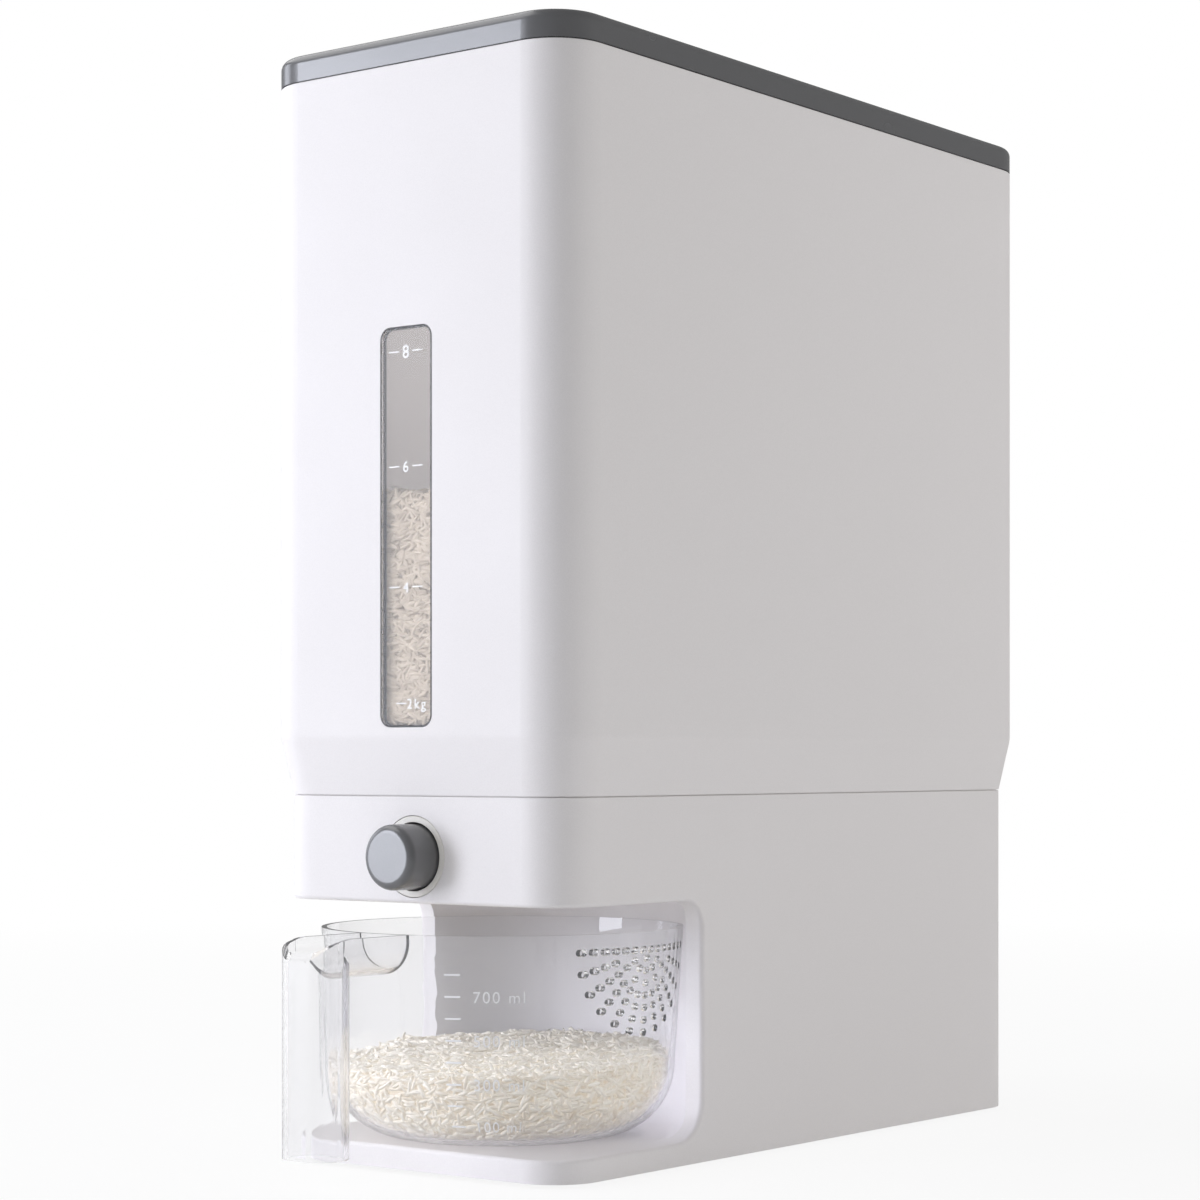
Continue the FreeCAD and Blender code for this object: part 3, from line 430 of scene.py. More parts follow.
def seen_directly(tree):
    """1 for the rays that carry what the eye sees: straight on or through glass."""
    rays = tree.nodes.new("ShaderNodeLightPath")
    either = tree.nodes.new("ShaderNodeMath")
    either.operation = "MAXIMUM"
    tree.links.new(rays.outputs["Is Camera Ray"], either.inputs[0])
    tree.links.new(rays.outputs["Is Transmission Ray"], either.inputs[1])
    return either.outputs["Value"]


def dress(names, finish):
    """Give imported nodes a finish."""
    for name in names:
        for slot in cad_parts[name].material_slots:
            slot.material = finish


# ---- mesh helpers -------------------------------------------------------------------------------------
def add_piece(name, vertices, faces, finish, body, smooth=True):
    """A new piece from its points and faces, which rides on a body."""
    mesh = bpy.data.meshes.new(name)
    mesh.from_pydata([tuple(v) for v in vertices], [], [tuple(f) for f in faces])
    mesh.polygons.foreach_set("use_smooth", [smooth] * len(mesh.polygons))
    mesh.materials.append(finish)
    mesh.update()
    piece = bpy.data.objects.new(name, mesh)
    bpy.context.scene.collection.objects.link(piece)
    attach(piece, body)
    return piece


def surface_tree(name):
    """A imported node's surface, for casting rays at it."""
    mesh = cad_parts[name].data
    return BVHTree.FromPolygons([v.co for v in mesh.vertices], [p.vertices for p in mesh.polygons])


def lettering(text, height, spacing, weight):
    """Points and faces of flat printed text, centred at 0. Its tallest figure has that height."""
    writing = bpy.data.curves.new("writing", "FONT")
    writing.body = text
    writing.size = 1.0
    writing.space_character = spacing
    writing.offset = weight
    writer = bpy.data.objects.new("writer", writing)
    mesh = bpy.data.meshes.new_from_object(writer)
    flat = np.array([v.co[:] for v in mesh.vertices])
    faces = [tuple(p.vertices) for p in mesh.polygons]
    bpy.data.objects.remove(writer)
    bpy.data.curves.remove(writing)
    bpy.data.meshes.remove(mesh)
    flat = flat[:, :2] * height / FIGURE_HEIGHT
    low = flat.min(axis=0)
    high = flat.max(axis=0)
    flat[:, 0] -= (low[0] + high[0]) / 2
    flat[:, 1] -= height / 2
    return flat, faces


def bar(width, height, steps):
    """Points and faces of a flat bar, divided along its width so that it can follow a round wall."""
    flat = []
    for i in range(steps + 1):
        x = width * (i / steps - 0.5)
        flat.append((x, -height / 2))
        flat.append((x, height / 2))
    faces = [(2 * i, 2 * i + 2, 2 * i + 3, 2 * i + 1) for i in range(steps)]
    return np.array(flat), faces


def join_marks(marks):
    """One set of points and faces from several."""
    points = []
    faces = []
    for flat, some in marks:
        faces += [tuple(i + len(points) for i in face) for face in some]
        points += [tuple(p) for p in flat]
    return np.array(points), faces


def thick_print(front, back, faces):
    """Closed ink from its outer and inner points."""
    count = len(front)
    edges = dict.fromkeys(edge for face in faces for edge in zip(face, face[1:] + face[:1]))
    sides = [(b, a, a + count, b + count) for a, b in edges if (b, a) not in edges]
    under = [tuple(i + count for i in reversed(face)) for face in faces]
    return np.vstack([front, back]), faces + under + sides


def coil_form(low, high, turns, wire, steps=24, sides=8):
    """Points and faces of a coil spring that fills a box, wound along Y. Its wire has that radius."""
    middle = (low + high) / 2
    radius = (high.x - low.x) / 2 - wire
    start = low.y + wire
    pitch = (high.y - low.y - 2 * wire) / (2 * math.pi * turns)
    points = []
    for i in range(turns * steps + 1):
        turn = 2 * math.pi * i / steps
        out = Vector((math.cos(turn), 0.0, -math.sin(turn)))
        centre = Vector((middle.x, start + pitch * turn, middle.z)) + out * radius
        along = Vector((-radius * math.sin(turn), pitch, -radius * math.cos(turn))).normalized()
        across = along.cross(out)
        for k in range(sides):
            lean = 2 * math.pi * k / sides
            points.append(centre + wire * (math.cos(lean) * out + math.sin(lean) * across))
    faces = [tuple(reversed(range(sides)))]
    for i in range(turns * steps):
        for k in range(sides):
            n = (k + 1) % sides
            faces.append((i * sides + k, i * sides + n, (i + 1) * sides + n, (i + 1) * sides + k))
    faces.append(tuple(range(turns * steps * sides, (turns * steps + 1) * sides)))
    return points, faces


# ---- rice ---------------------------------------------------------------------------------------------
def grain_form(rings=4, sides=5):
    """Points and faces of one grain, 1 long on X and 1 across, with blunt ends and a slight bend."""
    bluntness = 0.85
    bow = 0.04
    points = [(-0.5, 0.0, 0.0)]
    for i in range(rings):
        x = -0.5 * math.cos(math.pi * (i + 1) / (rings + 1))
        radius = 0.5 * math.sin(math.pi * (i + 1) / (rings + 1)) ** bluntness
        bend = bow * (0.25 - x * x)
        for k in range(sides):
            turn = 2 * math.pi * k / sides
            points.append((x, radius * math.cos(turn) + bend, radius * math.sin(turn)))
    points.append((0.5, 0.0, 0.0))
    last = len(points) - 1
    faces = []
    for k in range(sides):
        n = (k + 1) % sides
        faces.append((0, 1 + n, 1 + k))
        for i in range(rings - 1):
            a = 1 + i * sides
            faces.append((a + k, a + n, a + sides + n, a + sides + k))
        top = 1 + (rings - 1) * sides
        faces.append((last, top + k, top + n))
    return np.array(points), faces


def unit(vectors):
    """Each of several vectors made 1 long."""
    return vectors / np.linalg.norm(vectors, axis=1)[:, None]


def lay_grains(places, normals, lift, tone, random, settings):
    """Points, faces and tones of grains that lie on a surface, turned at random in it but mostly level."""
    steepness = 0.45
    flatness = 0.85
    tone_spread = 0.17
    form, form_faces = grain_form()
    count = len(places)
    normals = unit(normals)
    any_way = random.normal(size=(count, 3)) * (1.0, 1.0, steepness)
    along = unit(any_way - normals * (any_way * normals).sum(axis=1)[:, None])
    tip = random.normal(0.0, lift, count)
    along = unit(along + normals * tip[:, None])
    across = unit(np.cross(normals, along))
    upward = np.cross(along, across)
    long = settings.grain_length * random.normal(1.0, 0.09, count).clip(0.55, 1.2)
    wide = settings.grain_width * random.normal(1.0, 0.08, count).clip(0.75, 1.25)
    points = (
        places[:, None, :]
        + form[None, :, 0:1] * (along * long[:, None])[:, None, :]
        + form[None, :, 1:2] * (across * wide[:, None])[:, None, :]
        + form[None, :, 2:3] * (upward * wide[:, None] * flatness)[:, None, :]
    )
    faces = []
    for start in range(0, count * len(form), len(form)):
        faces += [tuple(i + start for i in face) for face in form_faces]
    tones = np.repeat(random.normal(tone, tone_spread, count).clip(0.0, 1.0), len(form))
    return points.reshape(-1, 3), faces, tones


def add_grains(name, places, normals, lift, tone, random, finish, body):
    """A piece of many grains. Milled rice lets light through, so it casts no shadow."""
    settings = bpy.context.scene.dispenser.rice
    points, faces, tones = lay_grains(places, normals, lift, tone, random, settings)
    piece = add_piece(name, points, faces, finish, body)
    piece.visible_shadow = False
    mark_tones(piece, tones)
    return piece


def mark_tones(piece, tones):
    """Store a tone for each point of a piece."""
    # the tones carry each grain's own tone and, where set darker, painted shade
    layer = piece.data.attributes.new("grain_tone_and_shade", "FLOAT", "POINT")
    layer.data.foreach_set("value", np.asarray(tones, dtype=np.float32))


def sample_surface(name, keep, per_area, random):
    """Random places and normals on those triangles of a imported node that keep() chooses."""
    smallest_area = 1e-12
    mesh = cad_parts[name].data
    mesh.calc_loop_triangles()
    corners = np.array([v.co[:] for v in mesh.vertices])
    triangles = corners[np.array([t.vertices[:] for t in mesh.loop_triangles])]
    cross = np.cross(triangles[:, 1] - triangles[:, 0], triangles[:, 2] - triangles[:, 0])
    area = np.linalg.norm(cross, axis=1) / 2
    real = area > smallest_area
    triangles = triangles[real]
    area = area[real]
    normals = cross[real] / (2 * area[:, None])
    chosen = keep(triangles.mean(axis=1), normals)
    triangles = triangles[chosen]
    area = area[chosen]
    normals = normals[chosen]
    count = int(area.sum() * per_area)
    which = random.choice(len(area), size=count, p=area / area.sum())
    a = random.random(count)
    b = random.random(count)
    fold = a + b > 1
    a[fold] = 1 - a[fold]
    b[fold] = 1 - b[fold]
    picked = triangles[which]
    first, second, third = picked[:, 0], picked[:, 1], picked[:, 2]
    places = first + a[:, None] * (second - first) + b[:, None] * (third - first)
    return places, normals[which]


def nearly_upright(count, random):
    """Directions that lean a little from straight up, each in its own way."""
    return np.tile((0.0, 0.0, 1.0), (count, 1)) + random.normal(0, GRAINS_LEAN, size=(count, 3))


def drawn_in(ring, middle, share_out, height):
    """A ring drawn in towards a middle, its points at what height(x, y) gives."""
    points = []
    for at in ring:
        x = middle.x + (at.x - middle.x) * share_out
        y = middle.y + (at.y - middle.y) * share_out
        points.append(Vector((x, y, height(x, y))))
    return points


def bed_form(rings):
    """Points and faces of a closed bed: rings from its lowest one up its side, then in over its top."""
    size = len(rings[0])
    points = [p for ring in rings for p in ring]
    faces = [tuple(reversed(range(size)))]
    for i in range(len(rings) - 1):
        a = i * size
        for k in range(size):
            n = (k + 1) % size
            faces.append((a + k, a + n, a + size + n, a + size + k))
    last = (len(rings) - 1) * size
    faces.append(tuple(range(last, last + size)))
    return points, faces


def ripple(x, y):
    """Small unevenness of a rice surface, in metres."""
    waves = math.sin(210 * x + 1.3) * math.cos(170 * y - 0.4) + 0.6 * math.sin(390 * x - 260 * y)
    return 0.0008 * waves


def cup_level(x, y):
    """Height of the rice's surface in the cup."""
    rice = bpy.context.scene.dispenser.rice
    middle = bowl_middle()
    half = Vector((CUP_HIGH.x, CUP_HIGH.y - middle.y))
    along = (y - middle.y) / half.y
    out = min(1.0, math.hypot(x / half.x, along))
    level = rice.cup_level_near + (rice.cup_level_far - rice.cup_level_near) * (along + 1) / 2
    return level + rice.mound * (1 - out * out) + ripple(x, y)


def bowl_middle():
    """Middle of the cup's bowl, on the ground."""
    return Vector((0.0, CUP_HIGH.y - BOWL_HALF_DEPTH, 0.0))


# ---- operators ----------------------------------------------------------------------------------------
class DISPENSER_OT_camera(bpy.types.Operator):
    """Place the camera at the front right, level with the cup's bay"""
    bl_idname = "dispenser.camera"
    bl_label = "Camera"

    def execute(self, context):
        studio = context.scene.dispenser.studio
        lens = bpy.data.cameras.new("camera")
        lens.sensor_width = SENSOR_WIDTH
        lens.lens = studio.lens
        lens.shift_y = studio.shift
        camera = bpy.data.objects.new("camera", lens)
        context.scene.collection.objects.link(camera)
        camera.location = studio.eye
        camera.rotation_euler = (math.pi / 2, 0.0, studio.azimuth)
        context.scene.camera = camera
        return {"FINISHED"}


class DISPENSER_OT_white_shell(bpy.types.Operator):
    """Give the body its matt white finish, and the button's ring its cream one"""
    bl_idname = "dispenser.white_shell"
    bl_label = "White shell"

    def execute(self, context):
        shell = context.scene.dispenser.shell
        grain = (shell.roughness, shell.grain_width, shell.grain_depth)
        dress(WHITE_NODES, matt_moulding("white_shell", shell.white, *grain))
        dress(CREAM_NODES, matt_moulding("cream_ring", shell.cream, *grain))
        return {"FINISHED"}


class DISPENSER_OT_grey_trim(bpy.types.Operator):
    """Give the lid and the button their satin grey finish"""
    bl_idname = "dispenser.grey_trim"
    bl_label = "Grey trim"

    def execute(self, context):
        trim = context.scene.dispenser.trim
        shell = context.scene.dispenser.shell
        grain = (trim.roughness, shell.grain_width, shell.grain_depth / 2)
        dress(GREY_NODES, matt_moulding("grey_trim", trim.grey, *grain, trim.sheen))
        return {"FINISHED"}


class DISPENSER_OT_clear_parts(bpy.types.Operator):
    """Give the cup and the sight window their clear finish"""
    bl_idname = "dispenser.clear_parts"
    bl_label = "Clear parts"

    def execute(self, context):
        clear = context.scene.dispenser.clear
        cup = clear_moulding("clear_cup", clear.cup_tint, clear.cup_haze, clear.roughness, clear.cup_index)
        dress(("measuring_cup",), cup)
        window = clear_moulding("clear_window", clear.window_tint, clear.window_haze, clear.roughness,
                                clear.window_index)
        middle = (WINDOW_LOW + WINDOW_HIGH) / 2
        half_width = (WINDOW_HIGH.x - WINDOW_LOW.x) / 2 - WINDOW_FLANGE
        half_height = (WINDOW_HIGH.z - WINDOW_LOW.z) / 2 - WINDOW_FLANGE
        inwards = rim_distance(window, middle, half_width, half_height, WINDOW_CORNER)
        edge = spread(window, inwards, 0.0, 1.0, clear.rim * 0.5, clear.rim)
        tone = two_tone(window, edge, clear.rim_tint, clear.window_tint)
        window.node_tree.links.new(tone, window.node_tree.nodes["Principled BSDF"].inputs["Base Color"])
        dress(("sight_window",), window)
        return {"FINISHED"}


class DISPENSER_OT_inner_parts(bpy.types.Operator):
    """Give the hidden mouldings, seals, feet and screws their finishes"""
    bl_idname = "dispenser.inner_parts"
    bl_label = "Inner parts"

    def execute(self, context):
        shell = context.scene.dispenser.shell
        trim = context.scene.dispenser.trim
        roughness = 0.4
        speck_width = 0.0008
        speck_depth = 0.00001
        grain = (roughness, speck_width, speck_depth)
        dress(INNER_NODES, matt_moulding("inner_plastic", shell.inner, *grain))
        dress(SEAL_NODES, soft_rubber("soft_seal", trim.seal))
        dress(FOOT_NODES, soft_rubber("rubber_foot", trim.rubber))
        dress(STEEL_NODES, bright_steel("bright_steel", trim.steel))
        return {"FINISHED"}


class DISPENSER_OT_spring(bpy.types.Operator):
    """Wind the button's spring, as it stands at rest"""
    bl_idname = "dispenser.spring"
    bl_label = "Button spring"

    def execute(self, context):
        points, faces = coil_form(SPRING_LOW, SPRING_HIGH, SPRING_TURNS, SPRING_WIRE)
        finish = bright_steel("spring_steel", context.scene.dispenser.trim.steel)
        coil = add_piece("return_spring_coil", points, faces, finish, "root")
        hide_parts("return_spring")
        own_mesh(coil)
        return {"FINISHED"}


class DISPENSER_OT_window_scale(bpy.types.Operator):
    """Print the scale in kilograms on the sight window"""
    bl_idname = "dispenser.window_scale"
    bl_label = "Window scale"

    def execute(self, context):
        marks = context.scene.dispenser.marks
        both = (-0.0057, 0.0057)
        # figure, height above the ground, its own height, place on X, places of its dashes on X
        figures = (
            ("8", 0.3048, 0.0050, 0.0, both),
            ("6", 0.2623, 0.0042, 0.0, both),
            ("4", 0.2177, 0.0040, 0.0, both),
            ("2kg", 0.1747, 0.0039, 0.0052, (-0.0022,)),
        )
        flats = []
        for figure, height, size, across, dashes in figures:
            flat, faces = lettering(figure, size, marks.figure_spacing, marks.figure_weight)
            flats.append((flat + (across, height), faces))
            for dash in dashes:
                flat, faces = bar(marks.dash, marks.dash_height, 1)
                flats.append((flat + (dash, height), faces))
        flat, faces = join_marks(flats)
        front, back = [
            np.column_stack([flat[:, 0], np.full(len(flat), WINDOW_LOW.y - out), flat[:, 1]])
            for out in (marks.thickness, marks.thickness / 10)
        ]
        points, faces = thick_print(front, back, faces)
        ink = printing_ink("print_white", marks.ink)
        add_piece("window_scale", points, faces, ink, "root", smooth=False)
        return {"FINISHED"}


class DISPENSER_OT_cup_scale(bpy.types.Operator):
    """Print the scale in millilitres on the cup's bowl"""
    bl_idname = "dispenser.cup_scale"
    bl_label = "Cup scale"

    def execute(self, context):
        marks = context.scene.dispenser.marks
        tree = surface_tree("measuring_cup")
        middle = bowl_middle()
        half_width = CUP_HIGH.x
        beyond = 0.1
        tick_parts = 6
        flats = []
        for step in range(8):
            height = marks.lowest_mark + step * marks.mark_step
            flat, faces = bar(marks.tick, marks.tick_height, tick_parts)
            flats.append((flat + (marks.tick_turn * half_width, height), faces))
            if step % 2 == 0:
                label = f"{(step + 1) * 100} ml"
                flat, faces = lettering(label, marks.label_height, marks.label_spacing, 0.0)
                flats.append((flat + (marks.label_turn * half_width, height), faces))
        flat, faces = join_marks(flats)
        front = []
        back = []
        for across, height in flat:
            turn = across / half_width
            out = Vector((math.sin(turn), -math.cos(turn), 0.0))
            start = Vector((middle.x, middle.y, height)) + out * beyond
            hit, normal, _, _ = tree.ray_cast(start, -out)
            if hit is None:
                raise RuntimeError("the cup's scale runs past its bowl")
            front.append(hit + normal * marks.thickness)
            back.append(hit + normal * marks.thickness / 10)
        points, faces = thick_print(np.array(front), np.array(back), faces)
        ink = printing_ink("print_on_cup", marks.ink)
        add_piece("cup_scale", points, faces, ink, "cup", smooth=False)
        return {"FINISHED"}


class DISPENSER_OT_cup_rice(bpy.types.Operator):
    """Put rice in the measuring cup"""
    bl_idname = "dispenser.cup_rice"
    bl_label = "Rice in the cup"

    def execute(self, context):
        rice = context.scene.dispenser.rice
        random = np.random.default_rng(rice.seed)
        finish = rice_skin("rice_grain", rice.dark, rice.pale)
        tree = surface_tree("measuring_cup")
        middle = bowl_middle()
        # the bed: its distance from the wall, from the surface and from the ground, and its points
        inset = 0.0022
        sink = 0.0012
        bottom = 0.0145
        turns = 96
        rows = 9
        # the grains at the wall: how many to a square metre, how far under the surface they end, how deep
        # they lie, how much they lift their tips, their tone, which is darker than the top's as painted
        # shade, and the height of the place that they face
        grains_per_area = 360000
        buried = 0.0008
        deepest = 0.0014
        wall_lift = 0.05
        wall_shade_tone = 0.64
        bowl_centre = 0.045
        # the grains on top: places tried, their distance from the wall, and their tone, paler than the
        # painted shade of the grains at the wall
        grains_tried = 9000
        gap = 0.0010
        top_tone = 0.92

        def wall(turn, height):
            """Place on the inside of the bowl, seen from its middle."""
            out = Vector((math.sin(turn), -math.cos(turn), 0.0))
            hit, _, _, _ = tree.ray_cast(Vector((middle.x, middle.y, height)), out)
            return hit - out * inset

        def top(x, y):
            """Height of the bed's top, just under the loose grains."""
            return cup_level(x, y) - sink

        edge_levels = []
        for k in range(turns):
            at = wall(2 * math.pi * k / turns, rice.cup_level_near)
            edge_levels.append(top(at.x, at.y))
        rings = []
        for i in range(rows + 1):
            heights = [bottom + (level - bottom) * i / rows for level in edge_levels]
            rings.append([wall(2 * math.pi * k / turns, heights[k]) for k in range(turns)])
        edge = rings[-1]
        rings += [drawn_in(edge, middle, share_out, top) for share_out in TOP_SHARES]
        points, faces = bed_form(rings)
        bed = add_piece("rice_bed_in_cup", points, faces, finish, "cup")
        bed.visible_shadow = False
        # the bed's darker tone is painted shade in the gaps between the grains
        mark_tones(bed, np.full(len(points), BED_SHADE_TONE))

        centre = np.array((middle.x, middle.y, bowl_centre))

        def inside_bowl(places, normals):
            """True for faces of the bowl's inside, under the rice."""
            facing = ((centre - places) * normals).sum(axis=1) > 0
            inside = ((places[:, 0] - centre[0]) / CUP_HIGH.x) ** 2 + (
                (places[:, 1] - centre[1]) / (CUP_HIGH.y - centre[1])) ** 2 < 1
            return facing & inside & (places[:, 2] < rice.cup_level_far + 2 * rice.mound)

        places, normals = sample_surface("measuring_cup", inside_bowl, grains_per_area, random)
        levels = np.array([cup_level(x, y) for x, y in places[:, :2]])
        under = places[:, 2] < levels - buried
        places = places[under]
        normals = normals[under]
        deep = random.random(len(places)) * deepest + rice.grain_width * 0.5
        places += normals * deep[:, None]
        # these grains get a darker tone: painted shade at the cup's wall
        add_grains("rice_at_cup_wall", places, normals, wall_lift, wall_shade_tone, random, finish, "cup")

        span = np.array((CUP_HIGH.x, CUP_HIGH.y - middle.y))
        flat = random.uniform(-1, 1, size=(grains_tried, 2)) * span + (middle.x, middle.y)
        places = []
        for x, y in flat:
            level = cup_level(x, y)
            at = wall(math.atan2(x - middle.x, -(y - middle.y)), level)
            reach = math.hypot(at.x - middle.x, at.y - middle.y)
            if math.hypot(x - middle.x, y - middle.y) < reach - gap:
                places.append((x, y, level + random.uniform(GRAINS_LOW, GRAINS_HIGH)))
        up = nearly_upright(len(places), random)
        add_grains("rice_on_cup", np.array(places), up, FLAT_LIFT, top_tone, random, finish, "cup")
        return {"FINISHED"}


class DISPENSER_OT_hopper_rice(bpy.types.Operator):
    """Put rice in the hopper"""
    bl_idname = "dispenser.hopper_rice"
    bl_label = "Rice in the hopper"

    def execute(self, context):
        rice = context.scene.dispenser.rice
        random = np.random.default_rng(rice.seed + 1)
        # the darker stored colours are painted shade of the rice inside the hopper
        finish = rice_skin("rice_in_store_shaded", rice.shaded_stored_dark, rice.shaded_stored_pale)
        walls = (surface_tree("hopper_shell"), surface_tree("sight_window"))
        funnel = surface_tree("hopper_funnel")
        outlet = bowl_middle()
        middle = Vector((0.0, (SHELL_LOW.y + SHELL_HIGH.y) / 2, 0.0))
        # the bed: its distance from the wall, from the surface and from the slopes, its hump and its points
        inset = 0.0030
        sink = 0.0015
        slope_gap = 0.002
        outlet_gap = 0.006
        rise = 0.010
        turns = 120
        wall_height = 0.22
        side_heights = (FUNNEL_HIGH.z + 0.004, wall_height, 0.24)
        slope_shares = (0.04, 0.10, 0.2, 0.35, 0.5, 0.65, 0.8, 0.9, 0.97)
        # the grains behind the window: how many, where they end, how deep they lie, and how much they lift
        # their tips
        window_grains = 3000
        window_reach = 0.024
        window_foot = 0.004
        buried = 0.0008
        deepest = 0.0022
        window_lift = 0.06
        # the grains on top: places tried
        grains_tried = 4600

        def level(x, y):
            """Height of the rice's surface in the hopper."""
            back = (y - WINDOW_HIGH.y) / (SHELL_HIGH.y - WINDOW_HIGH.y)
            hump = rise * math.sin(math.pi * min(1.0, max(0.0, back)))
            return rice.hopper_level + hump + 2 * ripple(x, y)

        def top(x, y):
            """Height of the bed's top, just under the loose grains."""
            return level(x, y) - sink

        def slope(x, y):
            """Height of the bed's underside, just over the funnel's slope."""
            hit, _, _, _ = funnel.ray_cast(Vector((x, y, rice.hopper_level)), Vector((0.0, 0.0, -1.0)))
            rest = FUNNEL_LOW.z if hit is None else hit.z
            return max(rest + slope_gap, FUNNEL_LOW.z + outlet_gap)

        def wall(turn):
            """Place inside the hopper's wall, seen from its middle."""
            out = Vector((math.sin(turn), -math.cos(turn), 0.0))
            start = Vector((middle.x, middle.y, wall_height))
            hits = [tree.ray_cast(start, out)[0] for tree in walls]
            nearest = min((hit - start).length for hit in hits if hit is not None)
            return start + out * (nearest - inset)

        edge = [wall(2 * math.pi * k / turns) for k in range(turns)]
        rings = [drawn_in(edge, outlet, share_out, slope) for share_out in slope_shares]
        rings += [[Vector((at.x, at.y, height)) for at in edge] for height in side_heights]
        rings.append([Vector((at.x, at.y, top(at.x, at.y))) for at in edge])
        rings += [drawn_in(edge, middle, share_out, top) for share_out in TOP_SHARES]
        points, faces = bed_form(rings)
        bed = add_piece("rice_bed_in_hopper", points, faces, finish, "root")
        # the bed's darker tone is painted shade in the gaps between the grains
        mark_tones(bed, np.full(len(points), BED_SHADE_TONE))

        x = random.uniform(-window_reach, window_reach, window_grains)
        z = random.uniform(WINDOW_LOW.z + window_foot, rice.hopper_level, window_grains)
        y = WINDOW_HIGH.y + rice.grain_width * 0.52 + random.random(window_grains) ** 2 * deepest
        places = np.column_stack([x, y, z])
        places = places[[z < level(x, y) - buried for x, y, z in places]]
        facing = np.tile((0.0, -1.0, 0.0), (len(places), 1))
        add_grains("rice_at_window", places, facing, window_lift, STORED_TONE, random, finish, "root")

        flat = random.uniform(-1, 1, size=(grains_tried, 2)) * (SHELL_HIGH.x, SHELL_HIGH.y - middle.y)
        places = []
        for x, y in flat:
            at = wall(math.atan2(x, -y))
            if math.hypot(x, y) < math.hypot(at.x, at.y - middle.y):
                y += middle.y
                places.append((x, y, level(x, y) + random.uniform(GRAINS_LOW, GRAINS_HIGH)))
        up = nearly_upright(len(places), random)
        add_grains("rice_on_hopper", np.array(places), up, FLAT_LIFT, STORED_TONE, random, finish, "root")
        return {"FINISHED"}


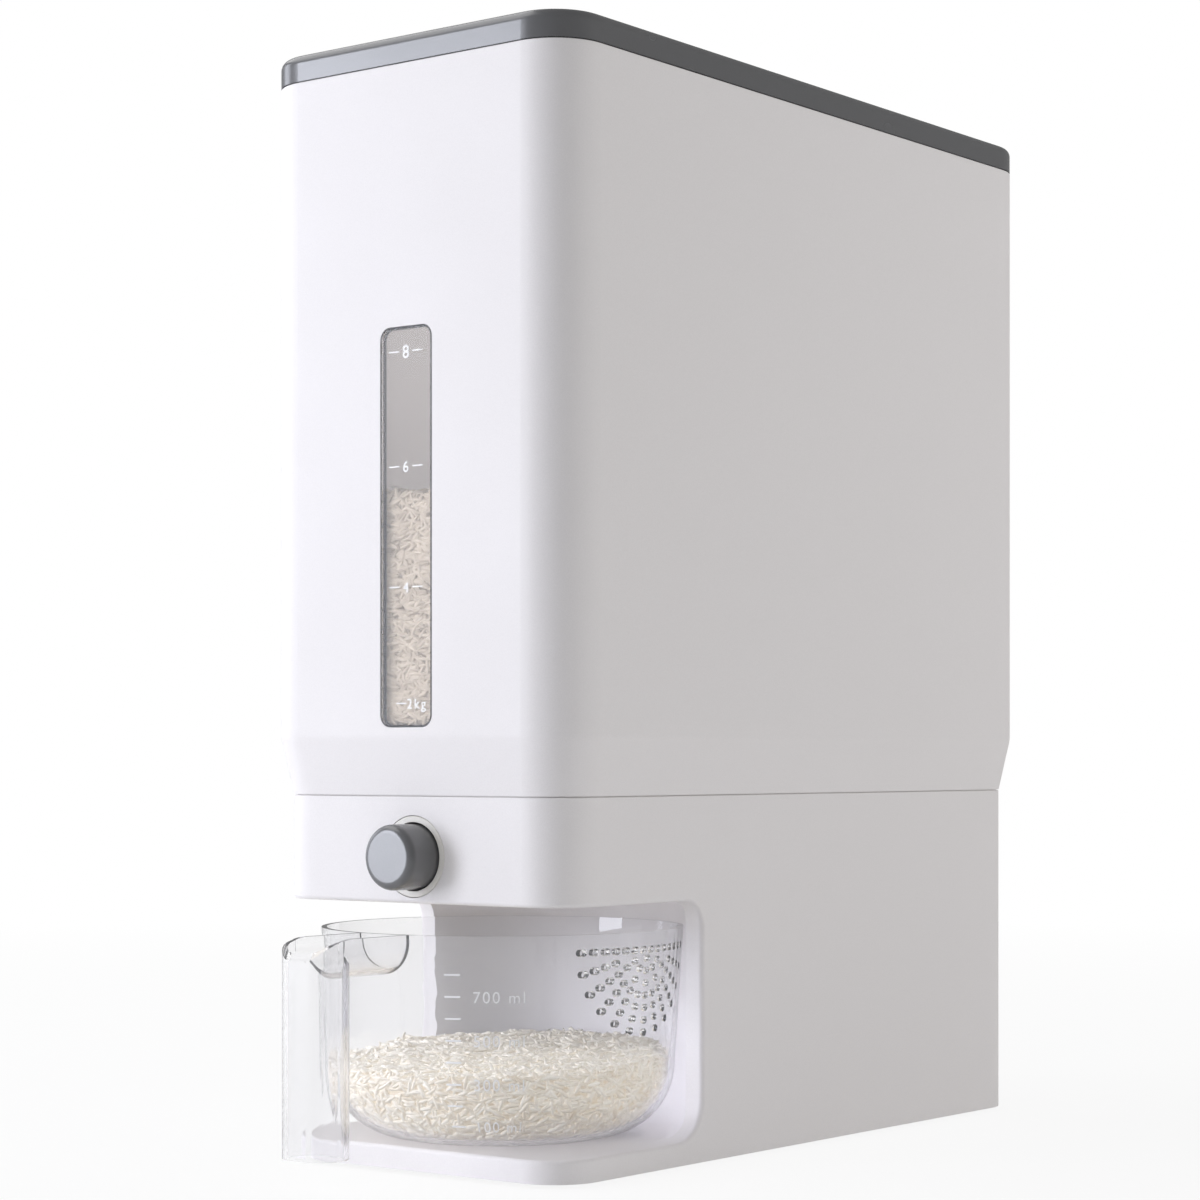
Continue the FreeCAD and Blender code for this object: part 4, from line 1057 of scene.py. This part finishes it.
class DISPENSER_OT_studio(bpy.types.Operator):
    """Add the pale floor, the even light and the lamps"""
    bl_idname = "dispenser.studio"
    bl_label = "Studio"

    def execute(self, context):
        studio = context.scene.dispenser.studio
        context.scene.view_settings.view_transform = "Standard"
        self.surround(context, studio)
        self.floor(context, studio)
        cool = studio.cool
        white = (1.0, 1.0, 1.0)
        middle = (0.0, -0.08, 0.20)
        under_lid = Vector((0.0, (SHELL_LOW.y + SHELL_HIGH.y) / 2, SHELL_HIGH.z - 0.03))
        hopper_foot = Vector((under_lid.x, under_lid.y, SHELL_LOW.z))
        # name, place, target, width and height, power, colour, whether glossy faces mirror it
        lamps = (
            ("key", (-0.98, -1.28, 0.41), middle, (0.55, 0.88), studio.key_power, cool, True),
            ("front", (0.05, -1.70, 0.36), middle, (0.9, 0.65), studio.front_power, cool, False),
            ("left", (-1.25, -0.30, 0.45), middle, (0.45, 0.8), studio.left_power, cool, True),
            ("side", (1.55, 0.85, 0.45), middle, (0.8, 1.0), studio.side_power, white, False),
            ("top", (-0.85, -0.35, 1.40), middle, (1.8, 0.9), studio.top_power, white, True),
            ("glow", under_lid, hopper_foot, (0.10, 0.25), studio.glow_power, white, False),
        )
        for lamp in lamps:
            self.lamp(context, *lamp)
        return {"FINISHED"}

    def surround(self, context, studio):
        """Even light from all round, seen as plain white."""
        world = bpy.data.worlds.new("surround")
        context.scene.world = world
        world.use_nodes = True
        tree = world.node_tree
        light = tree.nodes["Background"]
        white = tree.nodes.new("ShaderNodeBackground")
        for background, strength in ((light, studio.surround), (white, 1.0)):
            background.inputs["Color"].default_value = (1.0, 1.0, 1.0, 1.0)
            background.inputs["Strength"].default_value = strength
        shades = (light.outputs["Background"], white.outputs["Background"])
        choose_shader(tree, seen_directly(tree), *shades, "World Output")

    def floor(self, context, studio):
        """A wide pale floor that fades to white and keeps the part's soft shadow."""
        half = 12.0
        drop = 0.0002
        by_the_part = 0.3
        mesh = bpy.data.meshes.new("floor")
        corners = [(-half, -half, 0.0), (half, -half, 0.0), (half, half, 0.0), (-half, half, 0.0)]
        mesh.from_pydata(corners, [], [(0, 1, 2, 3)])
        floor = bpy.data.objects.new("floor", mesh)
        context.scene.collection.objects.link(floor)
        floor.location.z = -drop
        finish, shader = new_finish("pale_floor")
        tree = finish.node_tree
        shader.inputs["Base Color"].default_value = opaque(studio.floor)
        shader.inputs["Roughness"].default_value = 0.9
        white = tree.nodes.new("ShaderNodeEmission")
        white.inputs["Strength"].default_value = 1.0
        place = tree.nodes.new("ShaderNodeTexCoord")
        distance = tree.nodes.new("ShaderNodeVectorMath")
        distance.operation = "LENGTH"
        tree.links.new(place.outputs["Object"], distance.inputs[0])
        away = distance.outputs["Value"]
        glow = spread(finish, away, studio.floor_glow, 1.0, by_the_part, studio.floor_fade)
        part = tree.nodes.new("ShaderNodeMath")
        part.operation = "MULTIPLY"
        tree.links.new(seen_directly(tree), part.inputs[0])
        tree.links.new(glow, part.inputs[1])
        shades = (shader.outputs["BSDF"], white.outputs["Emission"])
        choose_shader(tree, part.outputs["Value"], *shades, "Material Output")
        mesh.materials.append(finish)

    def lamp(self, context, name, place, target, size, power, tint, mirrored):
        """A soft rectangular lamp turned to its target, unseen but for its mirror image in glossy faces."""
        light = bpy.data.lights.new(name, "AREA")
        light.shape = "RECTANGLE"
        light.size, light.size_y = size
        light.energy = power
        light.color = tint
        lamp = bpy.data.objects.new(name, light)
        context.scene.collection.objects.link(lamp)
        lamp.visible_camera = False
        lamp.visible_glossy = mirrored
        lamp.visible_transmission = False
        lamp.location = place
        aim = Vector(target) - lamp.location
        lamp.rotation_euler = aim.to_track_quat("-Z", "Y").to_euler()


class DISPENSER_PT_panel(bpy.types.Panel):
    """Lists the dispenser's pieces and settings"""
    bl_idname = "DISPENSER_PT_panel"
    bl_label = "Rice Dispenser"
    bl_space_type = "VIEW_3D"
    bl_region_type = "UI"
    bl_category = "Dispenser"

    def draw(self, context):
        for operator in OPERATORS:
            self.layout.operator(operator.bl_idname)
        settings = context.scene.dispenser
        for group in ("shell", "trim", "clear", "marks", "rice", "studio"):
            box = self.layout.box()
            box.label(text=group.capitalize())
            values = getattr(settings, group)
            for name in values.bl_rna.properties.keys():
                if name not in ("rna_type", "name"):
                    box.prop(values, name)


SETTINGS = (ShellSettings, TrimSettings, ClearSettings, PrintSettings, RiceSettings, StudioSettings,
            DispenserSettings)
OPERATORS = (
    DISPENSER_OT_camera,
    DISPENSER_OT_white_shell,
    DISPENSER_OT_grey_trim,
    DISPENSER_OT_clear_parts,
    DISPENSER_OT_inner_parts,
    DISPENSER_OT_spring,
    DISPENSER_OT_window_scale,
    DISPENSER_OT_cup_scale,
    DISPENSER_OT_cup_rice,
    DISPENSER_OT_hopper_rice,
    DISPENSER_OT_studio,
)


def register():
    for group in SETTINGS + OPERATORS + (DISPENSER_PT_panel,):
        bpy.utils.register_class(group)
    bpy.types.Scene.dispenser = PointerProperty(type=DispenserSettings)


def unregister():
    del bpy.types.Scene.dispenser
    for group in reversed(SETTINGS + OPERATORS + (DISPENSER_PT_panel,)):
        bpy.utils.unregister_class(group)


def main():
    register()
    for operator in OPERATORS:
        group, name = operator.bl_idname.split(".")
        getattr(getattr(bpy.ops, group), name)()


if __name__ == "__main__":
    main()
